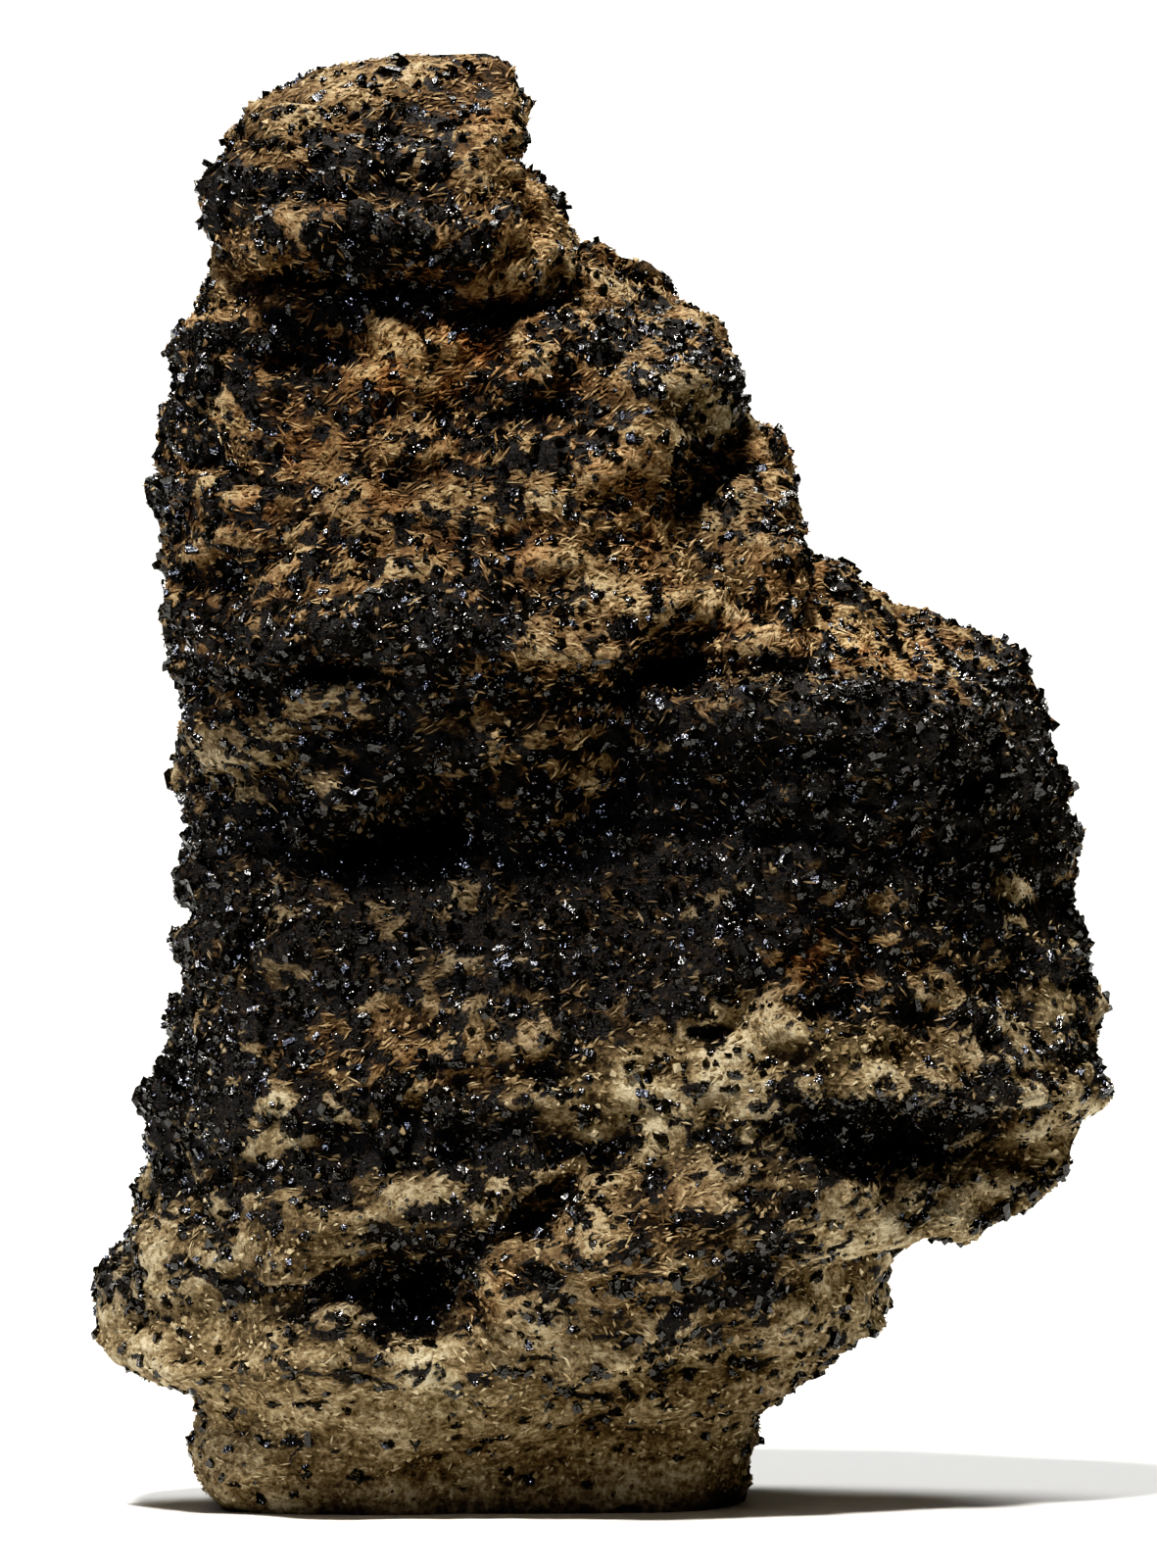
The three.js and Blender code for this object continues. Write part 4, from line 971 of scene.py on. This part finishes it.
def add(tree, kind, inputs=None, output=0, **settings):
    """Adds a node of a kind, sets its properties, gives each input a value or a link,
    and returns one of its outputs."""
    node = tree.nodes.new("ShaderNode" + kind)
    for key, value in settings.items():
        setattr(node, key, value)
    for key, value in (inputs or {}).items():
        if isinstance(value, bpy.types.NodeSocket):
            tree.links.new(value, node.inputs[key])
        else:
            node.inputs[key].default_value = value
    return node.outputs[output]


def feed(shader, **sources):
    """Links outputs to a shader's sockets, each named by its socket in small letters."""
    for key, source in sources.items():
        shader.id_data.links.new(source, shader.inputs[key.replace("_", " ").title()])


def new_material(name, **principled):
    """A material with one Principled shader, its plain values set on its own sockets."""
    material = bpy.data.materials.new(name)
    material.use_nodes = True
    shader = material.node_tree.nodes["Principled BSDF"]
    for key, value in principled.items():
        shader.inputs[key.replace("_", " ").title().replace("Ior", "IOR")].default_value = value
    return material, material.node_tree, shader


print("bright tan in linear:", np.round(linear("#C8A06E"), 3))


# %% The colours of the rock, shared by the skin, the fibres and the crumbs
WARM_TONES = [(0.15, "#20150A"), (0.4, "#664A2A"), (0.6, "#957A52"), (0.85, "#C9B289")]
PALE_TONES = [(0.15, "#3C311C"), (0.4, "#75674A"), (0.6, "#9F9274"), (0.85, "#CDC3A8")]
RUST, RUST_SIZE = "#EEBE86", 2.2  # what iron stain lets through, and its patches in mm
RUST_FROM, RUST_FULL = 0.45, 0.64  # values of the noise where it begins and is full
MOST_SHADED, MOST_LIT = 0.28, 1.15  # what a lightness of 0 and of 1 multiplies the colour by: painted shade and painted light
MIXED = {"data_type": "RGBA"}
TIMES = {**MIXED, "blend_type": "MULTIPLY"}


def rock_colour(tree, grain):
    """Four tones by a grain value, for the warm rock and the pale rock, then between
    the two by warmth, and darker or lighter by the lightness, which paints shade and light."""
    ramps = []
    for tones in (WARM_TONES, PALE_TONES):
        ramps.append(add(tree, "ValToRGB", {0: grain}))
        stops = ramps[-1].node.color_ramp.elements
        stops[0].position, stops[1].position = tones[0][0], tones[-1][0]
        stops[0].color, stops[1].color = linear(tones[0][1]), linear(tones[-1][1])
        for position, colour in tones[1:-1]:
            stops.new(position).color = linear(colour)
    warm, pale = ramps
    place = add(tree, "TexCoord", output="Object")
    stain = add(tree, "TexNoise", {
        "Vector": place, "Scale": cycles_per_metre(RUST_SIZE), "Detail": 4.0, "Roughness": 0.7,
    })
    warmth = add(tree, "Attribute", output="Fac", attribute_name="warmth")
    rusty = add(tree, "Math", {0: warmth, 1: warmth}, operation="MULTIPLY")
    rusty = add(tree, "MapRange", {0: stain, 1: RUST_FROM, 2: RUST_FULL, 4: rusty})
    stained = add(tree, "Mix", {0: 1.0, 6: warm, 7: linear(RUST)}, 2, **TIMES)
    warm = add(tree, "Mix", {0: rusty, 6: warm, 7: stained}, 2, **MIXED)
    colour = add(tree, "Mix", {0: warmth, 6: pale, 7: warm}, 2, **MIXED)
    # The lightness multiplies the colour: painted shade and painted light, with some of the rock's own
    # tone.
    light = add(tree, "Attribute", output="Fac", attribute_name="light")
    level = add(tree, "MapRange", {0: light, 3: MOST_SHADED, 4: MOST_LIT})
    grey = add(tree, "CombineColor", {i: level for i in range(3)})
    return add(tree, "Mix", {0: 1.0, 6: colour, 7: grey}, 2, **TIMES)


print("tones of the rock:", len(WARM_TONES + PALE_TONES))


# %% Weathered feldspar and quartz rock, as broken: the skin
# It gives the eye a dull, gritty surface with streaks along the banding. Where the map is
# black it is the dark powder between the grains, with brown specks and a soft sheen. Real
# grit is about half as coarse and wouldn't show.
STREAK_SIZE, GRIT_SIZE, FLATTENED = 1.6, 0.24, 3.2
COAL, UMBER = "#100D08", "#3A2C18"
TONE_START, STREAK_WEIGHT, RIDGE_SHADE_WEIGHT, GRIT_WEIGHT = -1.0, 0.9, 0.6, 1.5
SPECKS_FROM, SPECKS_FULL = 0.54, 0.66  # values of the grit
RAGGED, BLACK_FROM, BLACK_FULL = 2.2, 0.4, 0.6  # the grit breaks up the black's edge
STONE_ROUGHNESS, POWDER_ROUGHNESS = 0.85, 0.45
GRIT_DEPTH, STREAK_DEPTH, STREAK_STRENGTH = 0.26, 0.3, 0.8
skin_material, tree, shader = new_material(
    "altered_banded_rock", ior=1.52, specular_ior_level=0.25
)
place = add(tree, "TexCoord", output="Object")
stretched = add(tree, "Mapping", {"Vector": place, "Scale": (1, 1, FLATTENED)})
streaks = add(tree, "TexNoise", {
    "Vector": stretched, "Scale": cycles_per_metre(STREAK_SIZE), "Detail": 6.0, "Roughness": 0.72,
})
grit = add(tree, "TexNoise", {
    "Vector": place, "Scale": cycles_per_metre(GRIT_SIZE), "Detail": 4.0, "Roughness": 0.7,
})
ridge = add(tree, "Attribute", output="Fac", attribute_name="ridge")
black = add(tree, "Attribute", output="Fac", attribute_name="black")
# The tone is lighter on the slivers' ridges and darker in the hollows between them, which is painted
# light and shade; the grit and streaks darken the dents of their own bump too, painted shade mixed with
# the stone's own mottling.
tone = TONE_START
for source, weight in ((streaks, STREAK_WEIGHT), (ridge, RIDGE_SHADE_WEIGHT), (grit, GRIT_WEIGHT)):
    tone = add(tree, "Math", {0: source, 1: weight, 2: tone}, operation="MULTIPLY_ADD")
speck = add(tree, "MapRange", {0: grit, 1: SPECKS_FROM, 2: SPECKS_FULL})
dark = add(tree, "Mix", {0: speck, 6: linear(COAL), 7: linear(UMBER)}, 2, **MIXED)
edge = add(tree, "Math", {0: grit, 1: -0.5}, operation="ADD")
edge = add(tree, "Math", {0: edge, 1: RAGGED, 2: black}, operation="MULTIPLY_ADD")
edge = add(tree, "MapRange", {0: edge, 1: BLACK_FROM, 2: BLACK_FULL})
skin_colours = {0: edge, 6: rock_colour(tree, tone), 7: dark}
colour = add(tree, "Mix", skin_colours, 2, **MIXED)
gloss = add(tree, "MapRange", {0: edge, 3: STONE_ROUGHNESS, 4: POWDER_ROUGHNESS})
bump = add(tree, "Bump", {"Height": grit, "Distance": GRIT_DEPTH * MM, "Strength": 1.0})
bump = add(tree, "Bump", {
    "Height": streaks, "Distance": STREAK_DEPTH * MM, "Strength": STREAK_STRENGTH, "Normal": bump,
})
feed(shader, base_color=colour, roughness=gloss, normal=bump)
rock.data.materials.append(skin_material)
print("skin nodes:", len(tree.nodes))

# %% The same rock, split along its fibres: the fibres and crumbs
# Fresh splits are a little smoother than the skin. Each piece has a tone of its own, which
# gives the eye the mix of light and dark threads.
MOTTLE_SIZE, MOTTLE_WEIGHT, OWN_WEIGHT, TONE_LEAST = 0.35, 0.45, 0.5, 0.07
splinter_material, tree, shader = new_material(
    "altered_rock_splinters", roughness=0.75, ior=1.52, specular_ior_level=0.25
)
place = add(tree, "TexCoord", output="Object")
tone = add(tree, "Attribute", output="Fac", attribute_name="tone")
mottle = add(tree, "TexNoise", {
    "Vector": place, "Scale": cycles_per_metre(MOTTLE_SIZE), "Detail": 3.0,
})
tone = add(tree, "Math", {0: tone, 1: OWN_WEIGHT, 2: TONE_LEAST}, operation="MULTIPLY_ADD")
tone = add(tree, "Math", {0: mottle, 1: MOTTLE_WEIGHT, 2: tone}, operation="MULTIPLY_ADD")
feed(shader, base_color=rock_colour(tree, tone))
for piece in (fibres, crumbs):
    piece.data.materials.append(splinter_material)
print("splinter nodes:", len(tree.nodes))

# %% Straczekite, a vanadium mineral, as grown: the grains
# Its cleavage faces are smooth and nearly black, and give the eye small hard glints. The
# steps on them are hundredths of a millimetre in the real one and drawn coarser to show.
STEP_SIZE, STEP_HEIGHT = 0.09, 0.045
DEEPEST, PALEST = "#0C0A05", "#1B180F"  # both nearly black, with a brown-green cast
GLOSSIEST, LEAST_GLOSSY = 0.04, 0.15  # roughness
grain_material, tree, shader = new_material("straczekite", ior=1.75, specular_ior_level=0.35)
place = add(tree, "TexCoord", output="Object")
tone = add(tree, "Attribute", output="Fac", attribute_name="tone")
blacks = {0: tone, 6: linear(DEEPEST), 7: linear(PALEST)}
colour = add(tree, "Mix", blacks, 2, **MIXED)
gloss = add(tree, "MapRange", {0: tone, 3: GLOSSIEST, 4: LEAST_GLOSSY})
steps = add(tree, "TexNoise", {
    "Vector": place, "Scale": cycles_per_metre(STEP_SIZE), "Detail": 1.0,
})
bump = add(tree, "Bump", {"Height": steps, "Distance": STEP_HEIGHT * MM, "Strength": 1.0})
feed(shader, base_color=colour, roughness=gloss, normal=bump)
for piece in grain_pieces:
    piece.data.materials.append(grain_material)
print("grain nodes:", len(tree.nodes))

# %% [markdown]
# ## Floor, light and camera
# A pale sweep of paper carries the specimen. A light high in front makes ledges shade what
# is under them, a weak cool one on the left gives the grains their glints, and a third is
# for the paper behind. Light from all round would turn the black grains grey, so there is
# little of it. The camera is a long lens level with the middle of the piece, and a curve on
# the finished brightness holds the darkest tones down, as a contrasty photograph does.

# %% Floor: uncoated paper, matt and nearly white, bent up without a fold
PAPER_WIDTH, PAPER_FRONT, PAPER_BACK, PAPER_TOP = 0.26, -0.05, 0.6, 0.16
BEND, BEND_STEPS = 0.12, 25


def paper_sweep():
    """A level sheet that bends up at the back: straight, a quarter circle, straight."""
    quarter = np.linspace(0, np.pi / 2, BEND_STEPS)
    y = np.concatenate([[PAPER_FRONT], PAPER_BACK - BEND + BEND * np.sin(quarter), [PAPER_BACK]])
    z = np.concatenate([[0], BEND - BEND * np.cos(quarter), [PAPER_TOP]])
    x = np.array([-PAPER_WIDTH / 2, PAPER_WIDTH / 2])
    grid = np.stack(np.broadcast_arrays(x[None, :], y[:, None], z[:, None]), -1)
    row = np.arange(len(y) - 1)[:, None]
    quads = np.concatenate([2 * row, 2 * row + 1, 2 * row + 3, 2 * row + 2], axis=1)
    return grid.reshape(-1, 3), quads


points, quads = paper_sweep()
paper_mesh = bpy.data.meshes.new("paper")
paper_mesh.from_pydata(points.tolist(), [], quads.tolist())
paper_mesh.polygons.foreach_set("use_smooth", np.ones(len(quads), dtype=bool))
paper = bpy.data.objects.new("paper", paper_mesh)
bpy.context.scene.collection.objects.link(paper)
paper_material, tree, shader = new_material(
    "matt_white_paper", roughness=0.9, base_color=linear("#F4F4F2")
)
paper_mesh.materials.append(paper_material)
print("paper faces:", len(quads))

# %% Lights
ROCK_MIDDLE = Vector((-0.0008, 0.0, 0.0222))


def soft_light(name, place, side, power, colour, target=ROCK_MIDDLE):
    """A square area light that looks at its target: metres, watts and a hex colour."""
    light = bpy.data.lights.new(name, "AREA")
    light.size = side
    light.energy = power
    light.color = linear(colour)[:3]
    lamp = bpy.data.objects.new(name, light)
    lamp.location = place
    lamp.rotation_euler = (target - lamp.location).to_track_quat("-Z", "Y").to_euler()
    bpy.context.scene.collection.objects.link(lamp)
    return lamp


soft_light("window", (-0.08, -0.20, 0.42), 0.05, 3.9, "#FFFAF4")
glint = soft_light("glint", (-0.18, -0.26, 0.20), 0.09, 1.3, "#DDE5FF")
glint.visible_diffuse = False  # seen in what shines; it doesn't cool the dull rock
soft_light("paper_light", (0.0, 0.25, 0.7), 0.4, 7.0, "#FFFFFF", Vector((0, 0.6, 0.1)))
print("lights:", len(bpy.data.lights))

# %% The room: white to the camera, but faint as a light
ROOM_LIGHT, ROOM_SEEN = 0.04, 1.05
world = bpy.data.worlds.new("studio")
world.use_nodes = True
tree = world.node_tree
background = tree.nodes["Background"]
background.inputs["Color"].default_value = linear("#FFFFFF")
seen = add(tree, "LightPath", output="Is Camera Ray")
strength = add(tree, "MapRange", {0: seen, 3: ROOM_LIGHT, 4: ROOM_SEEN})
feed(background, strength=strength)
bpy.context.scene.world = world
print("room nodes:", len(tree.nodes))

# %% Camera
# A picture 1600 pixels high takes in 48 mm at the rock, seen from 300 mm away.
PICTURE_HEIGHT = 48.0 * MM
CAMERA_DISTANCE = 0.30
CAMERA_AIM = Vector((-0.00077, 0.0, 0.02205))
SENSOR = 36.0
camera_data = bpy.data.cameras.new("camera")
camera_data.sensor_width = SENSOR
camera_data.lens = SENSOR * CAMERA_DISTANCE / PICTURE_HEIGHT
camera_data.clip_start = 10 * MM
camera = bpy.data.objects.new("camera", camera_data)
camera.location = CAMERA_AIM + Vector((0, -CAMERA_DISTANCE, 0))
camera.rotation_euler = (CAMERA_AIM - camera.location).to_track_quat("-Z", "Y").to_euler()
bpy.context.scene.collection.objects.link(camera)
bpy.context.scene.camera = camera
print("lens in mm:", camera_data.lens)

# %% The curve on the finished brightness
# Pairs of (brightness, brightness shown): dark tones go down, and light ones stay.
TOE = [(0.02, 0.004), (0.06, 0.03), (0.2, 0.155), (0.5, 0.48)]
settings = bpy.context.scene.view_settings
settings.view_transform = "Standard"
settings.use_curve_mapping = True
whole = settings.curve_mapping.curves[3]
for x, y in TOE:
    whole.points.new(x, y)
settings.curve_mapping.update()
print("points of the curve:", len(whole.points))
